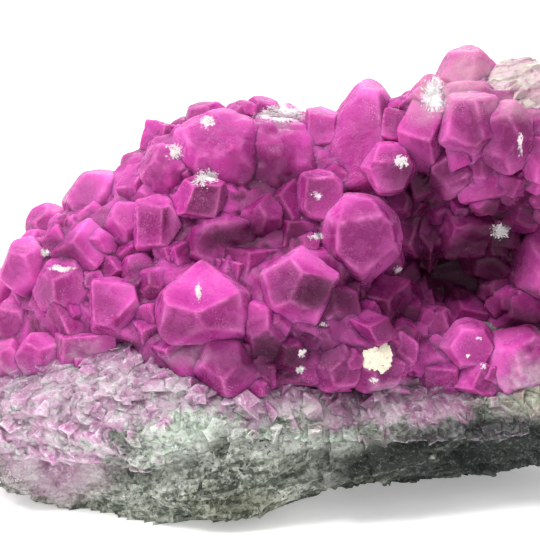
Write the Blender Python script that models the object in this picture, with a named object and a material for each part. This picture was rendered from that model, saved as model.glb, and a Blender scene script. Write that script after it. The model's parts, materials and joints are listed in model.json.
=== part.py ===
"""Cobaltoan calcite specimen: magenta calcite crystals grown on a pale calcite seam on broken host rock.

Run with: blender --background --python part.py
The script models in millimetres and writes its meshes in metres, +Z up. The specimen rests on z = 0
on its flat underside, its crystal side faces -Y, and the origin is the middle of its base.
"""
import math
import random

import bmesh
import bpy
import numpy as np
from mathutils import Matrix, Vector, noise
from mathutils.bvhtree import BVHTree

MM = 0.001

# ---- Driving dimensions, in millimetres -------------------------------------------------------
HEART = Vector((5, 8, 29))  # the rock and its layers are skins, drawn out from this point inside it
GRID_CUTS = 12              # a skin starts as a cube with this many cuts
GRID_STRETCH = (1.25, 0.8, 0.95)    # spreads the cube's points evenly over the long, flat rock
FARTHEST = 95               # no part of the rock is farther from its heart
BLEND = 6                   # how softly neighbouring lumps of rock run into each other
SEAM_THICKNESS = 2.2        # how far the pale seam stands out of the rock
CRUST_THICKNESS = 3.6       # the layer from which the crystals grow
BED_HEIGHT = 8              # the rock's layers, which rise to the right and show as low ledges
BED_RISE = 0.22
LEDGE = 1
BROKEN_SIZE = 17            # width and slope of the rock's broken faces
BROKEN_TILT = 0.5
BURIED = 2.5                # how far a skin dips under the rock where its layer is missing
GAP = 0.45                  # clearance between one layer and the next, along the line from the heart
CREST_ROOM = 6.8            # the rock's crest stays this far below the front's upper outline
BARE_ROOM = 0.5             # the same, where no crust covers it
CRUST_BACK = 13             # the crust ends here, on its way over the top to the broken back
SEAM_BACK = 8
SEAM_UNDER_CRUST = 5        # the seam reaches this far up under the crust
SEAM_OFF_GROUND = 5

# The front is laid out as seen from a point 324 mm away and 15 degrees up. "Across" and "up" below
# are places on the plane through AIM, square to that line of sight.
AIM = Vector((-8, 0, 35))
EYE_DISTANCE = 324
EYE_LIFT = math.radians(15)
FORWARD = Vector((0, math.cos(EYE_LIFT), -math.sin(EYE_LIFT)))
UPWARD = Vector((0, math.sin(EYE_LIFT), math.cos(EYE_LIFT)))
EYE = AIM - FORWARD * EYE_DISTANCE

# Lumps of the host rock: centre, then half sizes along X, Y and Z.
ROCK_LUMPS = {
    "base": ((0, 3, 11), (50, 25, 13)),
    "left_foot": ((-36, -6, 13), (18, 17, 15)),
    "front_bulge": ((-20, -13, 12), (20, 14, 14)),
    "right_foot": ((38, -1, 17), (20, 17, 12)),
    "back_wall": ((6, 13, 32), (42, 13, 27)),
    "left_shoulder": ((-22, 5, 31), (24, 15, 17)),
    "mid_crown": ((-8, 6, 39), (18, 12, 15)),
    "mid_slope": ((-5, -2, 26), (26, 14, 14)),
    "right_crown": ((28, 5, 53), (22, 14, 15)),
    "right_end": ((44, 6, 38), (12, 14, 20)),
}
POCKET = ((22, -8, 34.5), (16, 16, 8.5))

# Broken faces: a point on each and the way it looks. What stands in front of one is broken off.
ROCK_BREAKS = {
    "back_left": ((-20, 23, 30), (-0.35, 1, 0.12)),
    "back_middle": ((5, 25, 30), (0.06, 1, -0.1)),
    "back_right": ((34, 20, 34), (0.45, 1, 0.2)),
    "back_top": ((2, 20, 52), (-0.1, 0.8, 1)),
    "top_right": ((40, 8, 66), (0.35, 0.3, 1)),
    "end_right": ((55, 2, 30), (1, -0.12, 0.1)),
    "end_left": ((-51, 0, 18), (-1, 0.1, 0.25)),
    "toe_left": ((-30, -21, 8), (-0.3, -1, -0.3)),
    "toe_middle": ((-6, -23, 8), (0.15, -1, -0.2)),
    "toe_right": ((34, -17, 12), (0.2, -1, -0.35)),
    "back_foot": ((10, 27, 6), (0.1, 1, -0.5)),
}

# Edges on the front, each a list of (across, up).
CRYSTAL_EDGE = [(-60, -16), (-43, -17), (-37, -15.5), (-32, -13), (-27, -13.5), (-21, -11), (-17.5, -13),
                (-13.5, -16.5), (-6.5, -20), (-1.5, -19), (3, -17.5), (9.5, -18.5), (24, -18.5),
                (29, -20), (37, -18.5), (43, -10.5), (55, -5), (68, 6)]
SEAM_EDGE = [(-60, -29), (-43, -30), (-20, -32), (-11, -27), (10, -28), (37, -27.5), (43, -24), (60, -14)]
BARE_CORNER = (35, 25)      # right of and above this the crust is missing and pale rock shows

# The upper outline of the front. Small crystals that would stand above it are left out.
TOP_EDGE = [(-60, -8), (-43, 1.5), (-41, 5), (-38.5, 9), (-32.5, 10.5), (-31, 13), (-29, 15), (-21, 16.5),
            (-19.5, 20), (-18, 24.5), (-14.5, 24.5), (-12, 26.5), (-1.5, 27.5), (5, 25.5), (10.5, 25.5),
            (12, 24), (16.5, 29), (24, 29.5), (27, 32.5), (28.5, 35), (35, 35.5), (43, 34.5),
            (52, 29), (60, 20)]

# The lower outline of the front. The rock overhangs the ground to the right of its middle.
BOTTOM_EDGE = [(-60, -31), (-43, -35.5), (-33, -38.5), (-27, -39.5), (-21, -41), (-13, -41), (-2, -39.5),
               (3, -37.5), (10, -35), (18, -34), (26, -33.5), (37, -32), (43, -31), (60, -27)]

# The crystals that stand out, each with the faces it shows. A face is a direction (right, up, towards
# the eye) and its distance from the centre as a share of the crystal's size.
MAIN_CRYSTALS = {
    # name: (across, up, half width, half height, stands out, faces)
    "great_bead": (14.5, 5.5, 6.1, 6.5, 0.35, [
        ((0.1, -0.15, 1), 0.82), ((-0.1, 0.75, 0.65), 0.88), ((-1, 0, 0.35), 0.9), ((0.65, 0.65, 0.3), 0.93),
        ((-0.55, -0.85, 0.3), 0.94), ((0.6, -0.75, 0.35), 0.92), ((1, 0.1, 0.25), 0.95),
        ((-0.65, 0.6, 0.35), 0.94), ((0.05, 1, 0.15), 0.97)]),
    "peak": (16, 19.3, 8.6, 10.4, -0.4, [
        ((-0.42, 0.3, 0.86), 0.64), ((0.72, 0.32, 0.62), 0.66), ((0.05, 0.95, 0.3), 0.95),
        ((-0.72, 0.68, 0.15), 0.8), ((0.75, 0.62, 0.15), 0.8), ((-1, 0, 0.1), 0.93), ((1, 0, 0.1), 0.93),
        ((0, -0.9, 0.45), 0.85)]),
    "hex_bead": (19.2, 16.3, 3.9, 4, 1, [
        ((0, -0.35, 0.95), 0.74), ((0.05, 0.6, 0.8), 0.8), ((0, 1, 0.2), 0.97), ((-0.85, 0.5, 0.25), 0.93),
        ((-0.87, -0.45, 0.25), 0.93), ((0.1, -1, 0.2), 0.97), ((0.87, -0.5, 0.25), 0.92),
        ((0.87, 0.5, 0.2), 0.93)]),
    "block": (8, 11.7, 3.8, 4.3, 0.5, [
        ((0.15, -0.1, 1), 0.76), ((-1, 0.05, 0.35), 0.86), ((0, 1, 0.3), 0.9), ((1, 0, 0.1), 0.95),
        ((-0.1, -1, 0.25), 0.94), ((-0.7, -0.7, 0.25), 0.97), ((0.7, 0.7, 0.2), 1.0)]),
    "hanging_rhomb": (8.3, 21.6, 3.3, 4.5, 0.55, [
        ((-0.1, 0.05, 1), 0.7), ((0.95, 0.05, 0.35), 0.85), ((-1, 0.1, 0.25), 0.85), ((0.1, 1, 0.3), 0.85),
        ((0.05, -0.75, 0.62), 0.7), ((-0.8, -0.6, 0.25), 0.74), ((0.8, -0.6, 0.25), 0.74)]),
    "broad_crystal": (-10.4, -5.6, 7.0, 6.6, 0.4, [
        ((-0.12, 0.72, 0.68), 0.5), ((0.35, -0.02, 0.93), 0.78), ((-0.5, -0.35, 0.8), 0.84),
        ((0.1, -0.85, 0.5), 0.84), ((0.93, 0.05, 0.35), 0.95), ((-0.95, 0.1, 0.3), 0.95),
        ((-0.65, 0.75, 0.1), 0.86), ((0.55, 0.8, 0.1), 0.8), ((0, -1, -0.1), 0.95)]),
    "lit_crystal": (4.4, -2.7, 5.3, 5.7, 0.45, [
        ((0.42, 0.76, 0.5), 0.76), ((-0.45, 0.3, 0.85), 0.74), ((0.45, -0.12, 0.9), 0.72),
        ((0.05, -0.78, 0.62), 0.82), ((-0.95, -0.15, 0.3), 0.95), ((0.9, -0.45, 0.2), 0.92),
        ((-0.5, 0.85, 0.15), 0.86), ((-0.55, -0.85, 0.1), 0.95)]),
    "star_rhomb": (-11, 11.2, 3.8, 3.4, 0.9, [
        ((0.1, -0.15, 0.97), 0.66), ((-0.8, 0.2, 0.55), 0.78), ((0, 0.9, 0.45), 0.9),
        ((0.88, -0.2, 0.35), 0.88), ((-0.15, -0.95, 0.3), 0.85)]),
    "shoulder_bead": (-27.3, 10.8, 5.7, 5.3, 0.2, [
        ((-0.3, 0.3, 0.9), 0.84), ((0.45, -0.1, 0.88), 0.84), ((-0.8, 0.55, 0.2), 0.9), ((0, 1, 0.15), 0.94),
        ((0.85, 0.5, 0.15), 0.93), ((-0.9, -0.3, 0.3), 0.92), ((-0.2, -0.9, 0.4), 0.85),
        ((0.7, -0.65, 0.3), 0.92)]),
    "tall_rhomb": (-18, 7.2, 3.8, 4.4, 0.4, [
        ((-0.35, 0.05, 0.93), 0.72), ((0.6, 0, 0.8), 0.8), ((0, 0.9, 0.4), 0.9), ((-0.95, 0, 0.25), 0.92),
        ((0, -0.95, 0.3), 0.92), ((0.85, -0.5, 0.2), 0.88), ((0.85, 0.5, 0.2), 0.92)]),
    "leaning_rhomb": (-24.5, -6.2, 4.3, 4.9, 0.4, [
        ((-0.1, 0.25, 0.96), 0.72), ((0.55, -0.5, 0.67), 0.72), ((0.1, 1, 0.2), 0.9), ((-1, 0, 0.2), 0.93),
        ((-0.15, -0.9, 0.4), 0.85), ((0.95, 0.25, 0.2), 0.93)]),
    "rim_bead": (32, -12.3, 4.3, 4.1, 0.55, [
        ((0, 0.05, 1), 0.85), ((0, 1, 0.35), 0.93), ((0.85, 0.5, 0.35), 0.93), ((0.87, -0.5, 0.35), 0.93),
        ((0, -1, 0.35), 0.93), ((-0.87, -0.5, 0.35), 0.93), ((-0.85, 0.5, 0.35), 0.93)]),
    "brow_bead": (32.2, 23.1, 4.7, 5.2, 0.35, [
        ((-0.25, 0.1, 0.95), 0.82), ((0.5, 0.25, 0.82), 0.86), ((0, 0.95, 0.3), 0.92),
        ((-0.95, 0.2, 0.25), 0.92), ((-0.4, -0.85, 0.35), 0.9), ((0.5, -0.8, 0.35), 0.9),
        ((0.95, 0.1, 0.2), 0.95)]),
    "top_crystal": (31.7, 31.5, 4.8, 4.3, 0.1, [
        ((-0.35, 0.2, 0.9), 0.8), ((0.5, 0.05, 0.85), 0.82), ((-0.15, 0.95, 0.3), 0.9),
        ((-0.9, 0.35, 0.2), 0.9), ((0.7, 0.7, 0.15), 0.9), ((-0.6, -0.7, 0.3), 0.92),
        ((0.8, -0.55, 0.2), 0.92)]),
}
BACK_FACES = [((0, 0, -1), 0.9), ((0.7, 0.7, -0.6), 1.0), ((-0.7, 0.7, -0.6), 1.0),
              ((0.7, -0.7, -0.6), 1.0), ((-0.7, -0.7, -0.6), 1.0)]

# The other crystals on the front: across, up, half width, half height, habit.
FRONT_CRYSTALS = [
    # left shoulder
    (-35.5, 7, 3.5, 3.5, "bead"), (-38.5, 0.5, 4.5, 4.3, "bead"), (-21.5, 12.7, 2.4, 3.8, "rhomb"),
    (-30, 3.5, 3.3, 3.2, "rhomb"), (-33, -2.7, 3.8, 4, "bead"), (-22, 3, 1.8, 1.6, "rhomb"),
    (-15, 2.5, 2.5, 2.2, "rhomb"), (-39.5, -8.5, 4, 3.8, "bead"), (-37, -14, 3, 3, "bead"),
    (-32, -9, 3, 3.2, "rhomb"), (-30, -12, 4.5, 2.4, "rhomb"), (-42, -15, 2.5, 3, "bead"),
    (-28.5, -2, 2, 2, "bead"), (-25, 0, 2, 1.6, "rhomb"), (-18.5, -2.2, 2.2, 2, "bead"),
    (-42.5, -4, 3, 3, "bead"),
    # middle, under the crest
    (21, 11.5, 2, 2.5, "bead"), (21.8, 6.5, 2.6, 3.4, "rhomb"), (-1, 8, 2.8, 3.2, "bead"),
    (2, 10.5, 3, 3, "rhomb"), (3.5, 6, 2.4, 2.2, "rhomb"), (-7, 5, 5, 4, "mass"),
    (-3.5, 1.5, 3.8, 2.6, "rhomb"),
    # crest
    (-10, 24, 4, 3, "bead"), (-4.5, 25, 2.2, 1.8, "bead"), (-1.3, 25.2, 2.4, 2.2, "bead"),
    (2.5, 24, 3.2, 2, "rhomb"), (-7, 19, 5.5, 5, "mass"), (1, 17.5, 5.5, 5, "mass"),
    (-17, 21, 3.2, 3.5, "rhomb"), (-16.5, 15.5, 3.5, 4, "bead"),
    # lower edge
    (-1, -9.5, 3.1, 3.8, "bead"), (-6.7, -15.8, 4, 4, "bead"), (10.2, -6.2, 3.4, 3.4, "nail"),
    (9.1, -11, 2.4, 2.2, "nail"), (10.7, -15, 3.4, 3.4, "bead"), (16.5, -9.3, 3.2, 2.4, "rhomb"),
    (20.8, -13.3, 2.8, 3.1, "nail"), (17, -15.8, 4.2, 3.6, "bead"), (17, -5, 4.5, 3, "rhomb"),
    (26.4, -9.8, 2.9, 3.2, "bead"), (31.2, -6.7, 2.8, 2.6, "rhomb"), (28, -16.5, 3, 3, "rhomb"),
    (33.5, -18, 3, 2.5, "rhomb"), (19.3, -19.3, 3.2, 1.8, "rhomb"), (24.5, -5.5, 1.6, 3, "rhomb"),
    (-16, -13, 2, 2, "rhomb"), (3, -13, 2.5, 2.5, "bead"),
    # pocket and its right wall
    (39.7, -6.7, 4, 3.6, "bead"), (43.8, 1.2, 3.6, 5, "bead"), (31, 7, 3.7, 3.6, "rhomb"),
    (36, 5.5, 3, 3, "rhomb"), (35, 1.5, 3.5, 2.6, "bead"), (25.5, 5, 1.6, 3.4, "rhomb"),
    (21.5, -1, 2, 2, "rhomb"), (40.5, -15, 4.5, 4.5, "bead"),
    # brow over the pocket
    (25, 27.5, 3, 2.6, "rhomb"), (38, 21.5, 4.2, 5.2, "bead"), (29, 15.5, 3, 3.2, "nail"),
    (25, 21.5, 3, 4, "rhomb"), (36.5, 14.4, 4.5, 3.6, "rhomb"), (44, 17.5, 3.4, 4, "bead"),
]
CREAM_PATCH = (17, -14, 2.3, 2.4)   # across, up, half width and half height on the lower edge
PATCH_LIFT = 1.1            # how far the patch stands out

DARK_HOLE = (29, -1, 3.5)   # across, up and half width of the gap at the back of the pocket
FRONT_END = 44              # right of this, and further back than this, the fillers are larger
FRONT_BACK = 4
FILLER_SEED = 41
FILLER_COUNT = 24
FILLER_SIZES = (1.8, 3.2)

# ---- Calcite habits ----------------------------------------------------------------------------
# Each family of faces: tilt from the crystal's long axis, turns round it, and distance from the centre
# as a share of the half width. The lower half is the upper one turned by 60 degrees.
HABITS = {
    "rhomb": [(45, (0, 120, 240), 0.7)],
    "bead": [(40, (0, 120, 240), 0.88), (74, (60, 180, 300), 0.9)],
    "nail": [(27, (60, 180, 300), 0.74), (90, (30, 90, 150, 210, 270, 330), 0.9)],
    "mass": [(36, (0, 120, 240), 0.85), (74, (60, 180, 300), 0.95)],
}
STANDS_OUT = {"rhomb": 0.25, "bead": 0.25, "nail": 0.25, "mass": -0.15}
FACE_SPREAD = 0.07          # how unevenly one crystal's faces have grown


def clear_scene():
    for item in list(bpy.data.objects):
        bpy.data.objects.remove(item, do_unlink=True)


def make_material(name, colour, roughness):
    material = bpy.data.materials.new(name)
    material.use_nodes = True
    shader = material.node_tree.nodes["Principled BSDF"]
    shader.inputs["Base Color"].default_value = (*colour, 1)
    shader.inputs["Roughness"].default_value = roughness
    shader.inputs["Metallic"].default_value = 0
    return material


def add_group(name):
    group = bpy.data.collections.new(name)
    bpy.context.scene.collection.children.link(group)
    return group


def add_object(name, shape, material=None, is_cutter=False, group=None):
    """Turns a shape in millimetres into an object in metres."""
    bmesh.ops.scale(shape, vec=(MM, MM, MM), verts=shape.verts)
    mesh = bpy.data.meshes.new(name)
    shape.to_mesh(mesh)
    shape.free()
    item = bpy.data.objects.new(name, mesh)
    (group or bpy.context.scene.collection).objects.link(item)
    if material:
        mesh.materials.append(material)
    if is_cutter:
        item.hide_render = True
        item.display_type = "WIRE"
    return item


def add_boolean(item, operation, group):
    cut = item.modifiers.new(operation.lower(), "BOOLEAN")
    cut.operation = operation
    cut.solver = "EXACT"
    cut.operand_type = "COLLECTION"
    cut.collection = group


# ---- The front as the eye sees it --------------------------------------------------------------
def see(points):
    """Across and up of each point, as seen from the eye."""
    ray = points - np.array(EYE)
    depth = ray @ np.array(FORWARD)
    return ray[:, 0] / depth * EYE_DISTANCE, ray @ np.array(UPWARD) / depth * EYE_DISTANCE


def edge_height(edge, across):
    return np.interp(across, [p[0] for p in edge], [p[1] for p in edge])


def fade(distance, width):
    """0 to 1 as distance goes from half a width below zero to half a width above it."""
    return np.clip(distance / width + 0.5, 0, 1)


# ---- Host rock ---------------------------------------------------------------------------------
def ellipsoid_distance(points, centre, radii):
    """About how far each point is outside an ellipsoid."""
    local = points - np.array(centre, dtype=float)
    radii = np.array(radii, dtype=float)
    scaled = np.linalg.norm(local / radii, axis=1)
    slope = np.linalg.norm(local / radii ** 2, axis=1)
    return scaled * (scaled - 1) / np.maximum(slope, 1e-6)


def smooth_smaller(a, b, softness):
    mix = fade(b - a, 2 * softness)
    return b * (1 - mix) + a * mix - softness * mix * (1 - mix)


def rock_distance(points):
    """About how far each point is outside the lumps of rock, less the pocket."""
    nearest = np.full(len(points), 1e3)
    for centre, radii in ROCK_LUMPS.values():
        nearest = smooth_smaller(nearest, ellipsoid_distance(points, centre, radii), BLEND)
    pocket = ellipsoid_distance(points, *POCKET)
    return -smooth_smaller(-nearest, pocket, BLEND / 2)


def trace_rock(directions):
    """The distance from the heart to the rock's outside in each direction."""
    heart = np.array(HEART)
    reach = np.full(len(directions), float(FARTHEST))
    for _ in range(120):
        reach -= 0.6 * rock_distance(heart + directions * reach[:, None])
        reach = np.clip(reach, 4, FARTHEST)
    for point, outward in ROCK_BREAKS.values():
        outward = np.array(outward) / np.linalg.norm(outward)
        room = (np.array(point) - heart) @ outward
        along = directions @ outward
        facing = along > 1e-3
        reach[facing] = np.minimum(reach[facing], room / along[facing])
    return reach


def broken_faces(place, size):
    """A height that makes flat, tilted faces about this wide, with steps between them."""
    _, middles = noise.voronoi(place / size)
    middle = middles[0]
    lean = noise.cell_vector(middle * 9.7) - Vector((0.5, 0.5, 0.5))
    return lean.dot(place - middle * size)


def rough_rock(directions, reach):
    """Adds the broken faces and ledges of the rock."""
    rough = np.empty(len(reach))
    for index, (direction, length) in enumerate(zip(directions, reach)):
        place = HEART + Vector(direction) * length
        bedding = (place.z - BED_RISE * place.x + 3 * noise.noise(place / 20)) / BED_HEIGHT
        ledge = LEDGE * (bedding - math.floor(bedding))
        rough[index] = length + ledge + BROKEN_TILT * broken_faces(place, BROKEN_SIZE)
    return rough


def keep_in_outline(directions, reach):
    """Draws the rock in to the front's lower outline, and its crest in to leave room for the crystals."""
    reach = reach.copy()
    for _ in range(40):
        points = np.array(HEART) + directions * reach[:, None]
        across, up = see(points)
        bare = fade(across - BARE_CORNER[0], 3)
        room = CREST_ROOM * (1 - bare) + BARE_ROOM * bare
        over = up > edge_height(TOP_EDGE, across) - room
        under = up < edge_height(BOTTOM_EDGE, across)
        reach[over | under] *= 0.985
    return reach


def rest_on_ground(directions, reach):
    down = directions[:, 2] < -1e-3
    reach[down] = np.minimum(reach[down], -HEART.z / directions[down, 2])
    return reach


# ---- Where each layer lies ---------------------------------------------------------------------
def crust_cover(points):
    """1 where the crystal crust covers the rock, 0 where the rock is bare."""
    across, up = see(points)
    above_edge = fade(up - edge_height(CRYSTAL_EDGE, across), 1.5)
    back = CRUST_BACK + 2.5 * np.sin(points[:, 0] / 6) + 1.5 * np.sin(points[:, 2] / 4 + 1)
    before_back = fade(back - points[:, 1], 2)
    in_corner = fade(across - BARE_CORNER[0], 2) * fade(up - BARE_CORNER[1], 2)
    return above_edge * before_back * (1 - in_corner)


def seam_cover(points):
    """1 where the pale seam covers the rock: a band from its lower edge to well under the crust."""
    across, up = see(points)
    above_edge = fade(up - edge_height(SEAM_EDGE, across), 2)
    under_crust = fade(edge_height(CRYSTAL_EDGE, across) + SEAM_UNDER_CRUST - up, 2)
    before_back = fade(SEAM_BACK - points[:, 1], 2)
    return above_edge * under_crust * before_back * fade(points[:, 2] - SEAM_OFF_GROUND, 2)


class Skins:
    """The rock and the layers on it: one cube-shaped net of directions, and a reach for each layer."""

    def __init__(self, cuts):
        net = bmesh.new()
        bmesh.ops.create_cube(net, size=2)
        bmesh.ops.subdivide_edges(net, edges=net.edges, cuts=cuts, use_grid_fill=True)
        bmesh.ops.triangulate(net, faces=net.faces, quad_method="FIXED")
        corners = np.array([v.co for v in net.verts])
        corners = np.tan(corners * math.pi / 4) * np.array(GRID_STRETCH)
        self.net = net
        self.directions = corners / np.linalg.norm(corners, axis=1)[:, None]
        bare = rough_rock(self.directions, trace_rock(self.directions))
        self.rock = keep_in_outline(self.directions, rest_on_ground(self.directions, bare))
        points = self.points(self.rock)
        self.covered = crust_cover(points)
        self.seam = self.rock + (SEAM_THICKNESS + BURIED) * seam_cover(points) - BURIED
        self.crust = self.rock + (CRUST_THICKNESS + BURIED) * self.covered - BURIED

    def points(self, reach):
        return np.array(HEART) + self.directions * reach[:, None]

    def shape(self, reach):
        """A closed shape at the given reach."""
        skin = self.net.copy()
        for vertex, place in zip(skin.verts, self.points(reach)):
            vertex.co = place
        return skin


# ---- Crystals ----------------------------------------------------------------------------------
def crystal_faces(habit, rng):
    """The outward direction and distance of each face of a crystal of half width 1."""
    faces = []
    for tilt, turns, distance in HABITS[habit]:
        tilt = math.radians(tilt)
        for turn in turns:
            for side in (1, -1):
                if math.cos(tilt) < 1e-3 and side < 0:
                    continue
                angle = math.radians(turn if side > 0 else turn + 60)
                outward = Vector((math.sin(tilt) * math.cos(angle), math.sin(tilt) * math.sin(angle),
                                  side * math.cos(tilt)))
                faces.append((outward, distance * (1 + rng.uniform(-FACE_SPREAD, FACE_SPREAD))))
    return faces


def crystal_shape(faces):
    """A closed crystal of half width 1: a cube with everything in front of each face cut away."""
    shape = bmesh.new()
    bmesh.ops.create_cube(shape, size=2.6)
    for outward, distance in faces:
        everything = shape.verts[:] + shape.edges[:] + shape.faces[:]
        cut = bmesh.ops.bisect_plane(shape, geom=everything, dist=1e-5, plane_co=outward * distance,
                                     plane_no=outward, clear_outer=True)
        rim = [e for e in cut["geom_cut"] if isinstance(e, bmesh.types.BMEdge)]
        if len(rim) > 2:
            bmesh.ops.contextual_create(shape, geom=rim)
    bmesh.ops.remove_doubles(shape, verts=shape.verts, dist=0.05)
    return shape


def front_frame():
    """The turn from (right, up, towards the eye) to the model's axes."""
    return Matrix((Vector((1, 0, 0)), UPWARD, -FORWARD)).transposed()


def stretched(half_width, half_height):
    """A stretch to the given half sizes as seen from the eye."""
    frame = front_frame()
    sizes = Matrix.Diagonal((half_width, half_height, (half_width + half_height) / 2))
    return (frame @ sizes @ frame.transposed()).to_4x4()


def turn_to(long_axis, spin):
    upright = Vector((0, 0, 1)).rotation_difference(long_axis.normalized()).to_matrix().to_4x4()
    return upright @ Matrix.Rotation(spin, 4, "Z")


def wander(rng, amount):
    return Vector((rng.uniform(-1, 1), rng.uniform(-1, 1), rng.uniform(-1, 1))) * amount


def meet_surface(tree, across, up):
    """Where the line of sight through a place on the front meets the crust, or passes nearest to it."""
    target = AIM + Vector((1, 0, 0)) * across + UPWARD * up
    sight = (target - EYE).normalized()
    place, normal, _, _ = tree.ray_cast(EYE, sight)
    if place:
        return place, normal, sight
    steps = [EYE + sight * (EYE_DISTANCE - 30 + step * 1.2) for step in range(60)]
    along = min(steps, key=lambda point: tree.find_nearest(point)[3])
    return along, tree.find_nearest(along)[1], sight


def main_crystals(tree):
    frame = front_frame()
    for across, up, half_width, half_height, stands_out, faces in MAIN_CRYSTALS.values():
        place, _, sight = meet_surface(tree, across, up)
        planes = [((frame @ Vector(outward)).normalized(), distance)
                  for outward, distance in faces + BACK_FACES]
        size = (half_width + half_height) / 2
        yield place - sight * stands_out * size, size, planes, stretched(half_width, half_height)


def front_crystals(tree):
    rng = random.Random(FILLER_SEED)
    for across, up, half_width, half_height, habit in FRONT_CRYSTALS:
        place, normal, sight = meet_surface(tree, across, up)
        size = (half_width + half_height) / 2
        turn = turn_to(normal * 0.6 - sight * 0.5 + wander(rng, 0.45), rng.uniform(0, math.tau))
        yield (place - sight * STANDS_OUT[habit] * size, size, crystal_faces(habit, rng),
               stretched(half_width, half_height) @ turn)


def filler_crystals(skins, skin, taken):
    """Small crystals between the large ones, and larger ones over the right end, away from the front."""
    rng = random.Random(FILLER_SEED + 1)
    open_faces = [face for face in skin.faces if all(skins.covered[v.index] > 0.9 for v in face.verts)]
    rng.shuffle(open_faces)
    added = 0
    for face in open_faces:
        place = face.calc_center_median()
        across, up = (float(value[0]) for value in see(np.array([place])))
        size = rng.uniform(*FILLER_SIZES) * (1.45 if across > FRONT_END or place.y > FRONT_BACK else 1)
        outward = face.normal.copy()
        turn = turn_to(outward + wander(rng, 0.5), rng.uniform(0, math.tau))
        faces = crystal_faces(rng.choice(("rhomb", "bead", "rhomb")), rng)
        in_hole = math.hypot(across - DARK_HOLE[0], up - DARK_HOLE[1]) < DARK_HOLE[2]
        crowded = in_hole or any((place - centre).length < 0.78 * (size + other) for centre, other in taken)
        if crowded or up + size > edge_height(TOP_EDGE, across) or added == FILLER_COUNT:
            continue
        added += 1
        taken.append((place, size))
        yield place + outward * 0.15 * size, size, faces, Matrix.Scale(size, 4) @ turn


def make_crystals(skins):
    """One object for each crystal, in a collection of their own."""
    group = add_group("crystals")
    crust = skins.shape(skins.crust)
    crust.normal_update()
    crust.verts.index_update()
    tree = BVHTree.FromBMesh(crust)
    crystals = list(main_crystals(tree)) + list(front_crystals(tree))
    crystals += filler_crystals(skins, crust, [(centre, size) for centre, size, _, _ in crystals])
    crust.free()
    for number, (centre, _, faces, form) in enumerate(crystals):
        shape = crystal_shape(faces)
        bmesh.ops.transform(shape, matrix=Matrix.Translation(centre) @ form, verts=shape.verts)
        add_object(f"crystal_{number:03d}", shape, is_cutter=True, group=group)
    return group


# ---- The pieces --------------------------------------------------------------------------------
def settle(item):
    """Carries out the object's booleans and keeps the largest body, without slivers or folded flaps."""
    depsgraph = bpy.context.evaluated_depsgraph_get()
    solid = bmesh.new()
    solid.from_mesh(item.evaluated_get(depsgraph).data)
    flaps = {}
    for face in solid.faces:
        flaps.setdefault(frozenset(vertex.co.to_tuple(7) for vertex in face.verts), []).append(face)
    twins = [face for faces in flaps.values() if len(faces) > 1 for face in faces]
    bmesh.ops.delete(solid, geom=twins, context="FACES")
    bodies = []
    unseen = set(solid.verts)
    while unseen:
        body = [unseen.pop()]
        for vertex in body:
            near = {edge.other_vert(vertex) for edge in vertex.link_edges} & unseen
            unseen -= near
            body.extend(near)
        bodies.append(body)
    bodies.sort(key=len)
    slivers = [vertex for body in bodies[:-1] for vertex in body]
    bmesh.ops.delete(solid, geom=slivers, context="VERTS")
    solid.to_mesh(item.data)
    solid.free()
    item.modifiers.clear()


def make_host_rock(skins):
    shape = skins.shape(skins.rock)
    underside = [face for face in shape.faces if all(abs(v.co.z) < 1e-3 for v in face.verts)]
    bmesh.ops.dissolve_faces(shape, faces=underside)
    add_object("host_rock", shape, make_material("grey_rock", (0.33, 0.32, 0.27), 0.85))


def make_pale_seam(skins):
    seam = add_object("pale_calcite_seam", skins.shape(skins.seam),
                      make_material("pale_calcite", (0.82, 0.72, 0.78), 0.6))
    cutters = add_group("seam_cutters")
    add_object("rock_backing", skins.shape(skins.rock + GAP), is_cutter=True, group=cutters)
    add_boolean(seam, "DIFFERENCE", cutters)
    settle(seam)


def cream_lump(centre, grown=0):
    """The lump of cream crust, grown on all sides by the given distance."""
    _, _, half_width, half_height = CREAM_PATCH
    shape = bmesh.new()
    bmesh.ops.create_icosphere(shape, subdivisions=2, radius=1)
    for vertex in shape.verts:
        vertex.co *= 1 + 0.2 * noise.noise(vertex.co * 1.7)
    sizes = Vector((half_width, half_height, PATCH_LIFT)) + Vector((grown, grown, grown))
    frame = front_frame() @ Matrix.Diagonal(sizes)
    bmesh.ops.transform(shape, matrix=Matrix.Translation(centre) @ frame.to_4x4(), verts=shape.verts)
    return shape


def make_crystal_druse(skins):
    """The crust and its crystals, cut to the rock and seam behind. Returns the cream patch's place."""
    druse = add_object("crystal_druse", skins.shape(skins.crust),
                       make_material("magenta_calcite", (0.72, 0.05, 0.36), 0.3))
    add_boolean(druse, "UNION", make_crystals(skins))
    tree = BVHTree.FromObject(druse, bpy.context.evaluated_depsgraph_get())
    sight = (AIM + Vector((1, 0, 0)) * CREAM_PATCH[0] + UPWARD * CREAM_PATCH[1] - EYE).normalized()
    patch_centre = tree.ray_cast(EYE * MM, sight)[0] / MM

    behind = skins.shape(np.maximum(skins.rock, skins.seam) + GAP)
    cutters = add_group("druse_cutters")
    add_object("seam_backing", behind, is_cutter=True, group=cutters)
    add_object("patch_hollow", cream_lump(patch_centre, GAP), is_cutter=True, group=cutters)
    add_boolean(druse, "DIFFERENCE", cutters)
    settle(druse)
    return patch_centre


def make_cream_patch(centre):
    add_object("cream_patch", cream_lump(centre), make_material("cream_crust", (0.86, 0.82, 0.66), 0.9))


def main():
    clear_scene()
    skins = Skins(GRID_CUTS)
    make_host_rock(skins)
    make_pale_seam(skins)
    make_cream_patch(make_crystal_druse(skins))


main()
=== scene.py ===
"""Looks of the cobaltoan calcite specimen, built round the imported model.

Everything is laid out in millimetres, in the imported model's frame, and written to meshes in metres.
"""
import itertools
import json
import math
import random

import bmesh
import bpy
import numpy as np
from mathutils import Matrix, Vector, noise
from mathutils.bvhtree import BVHTree

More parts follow.
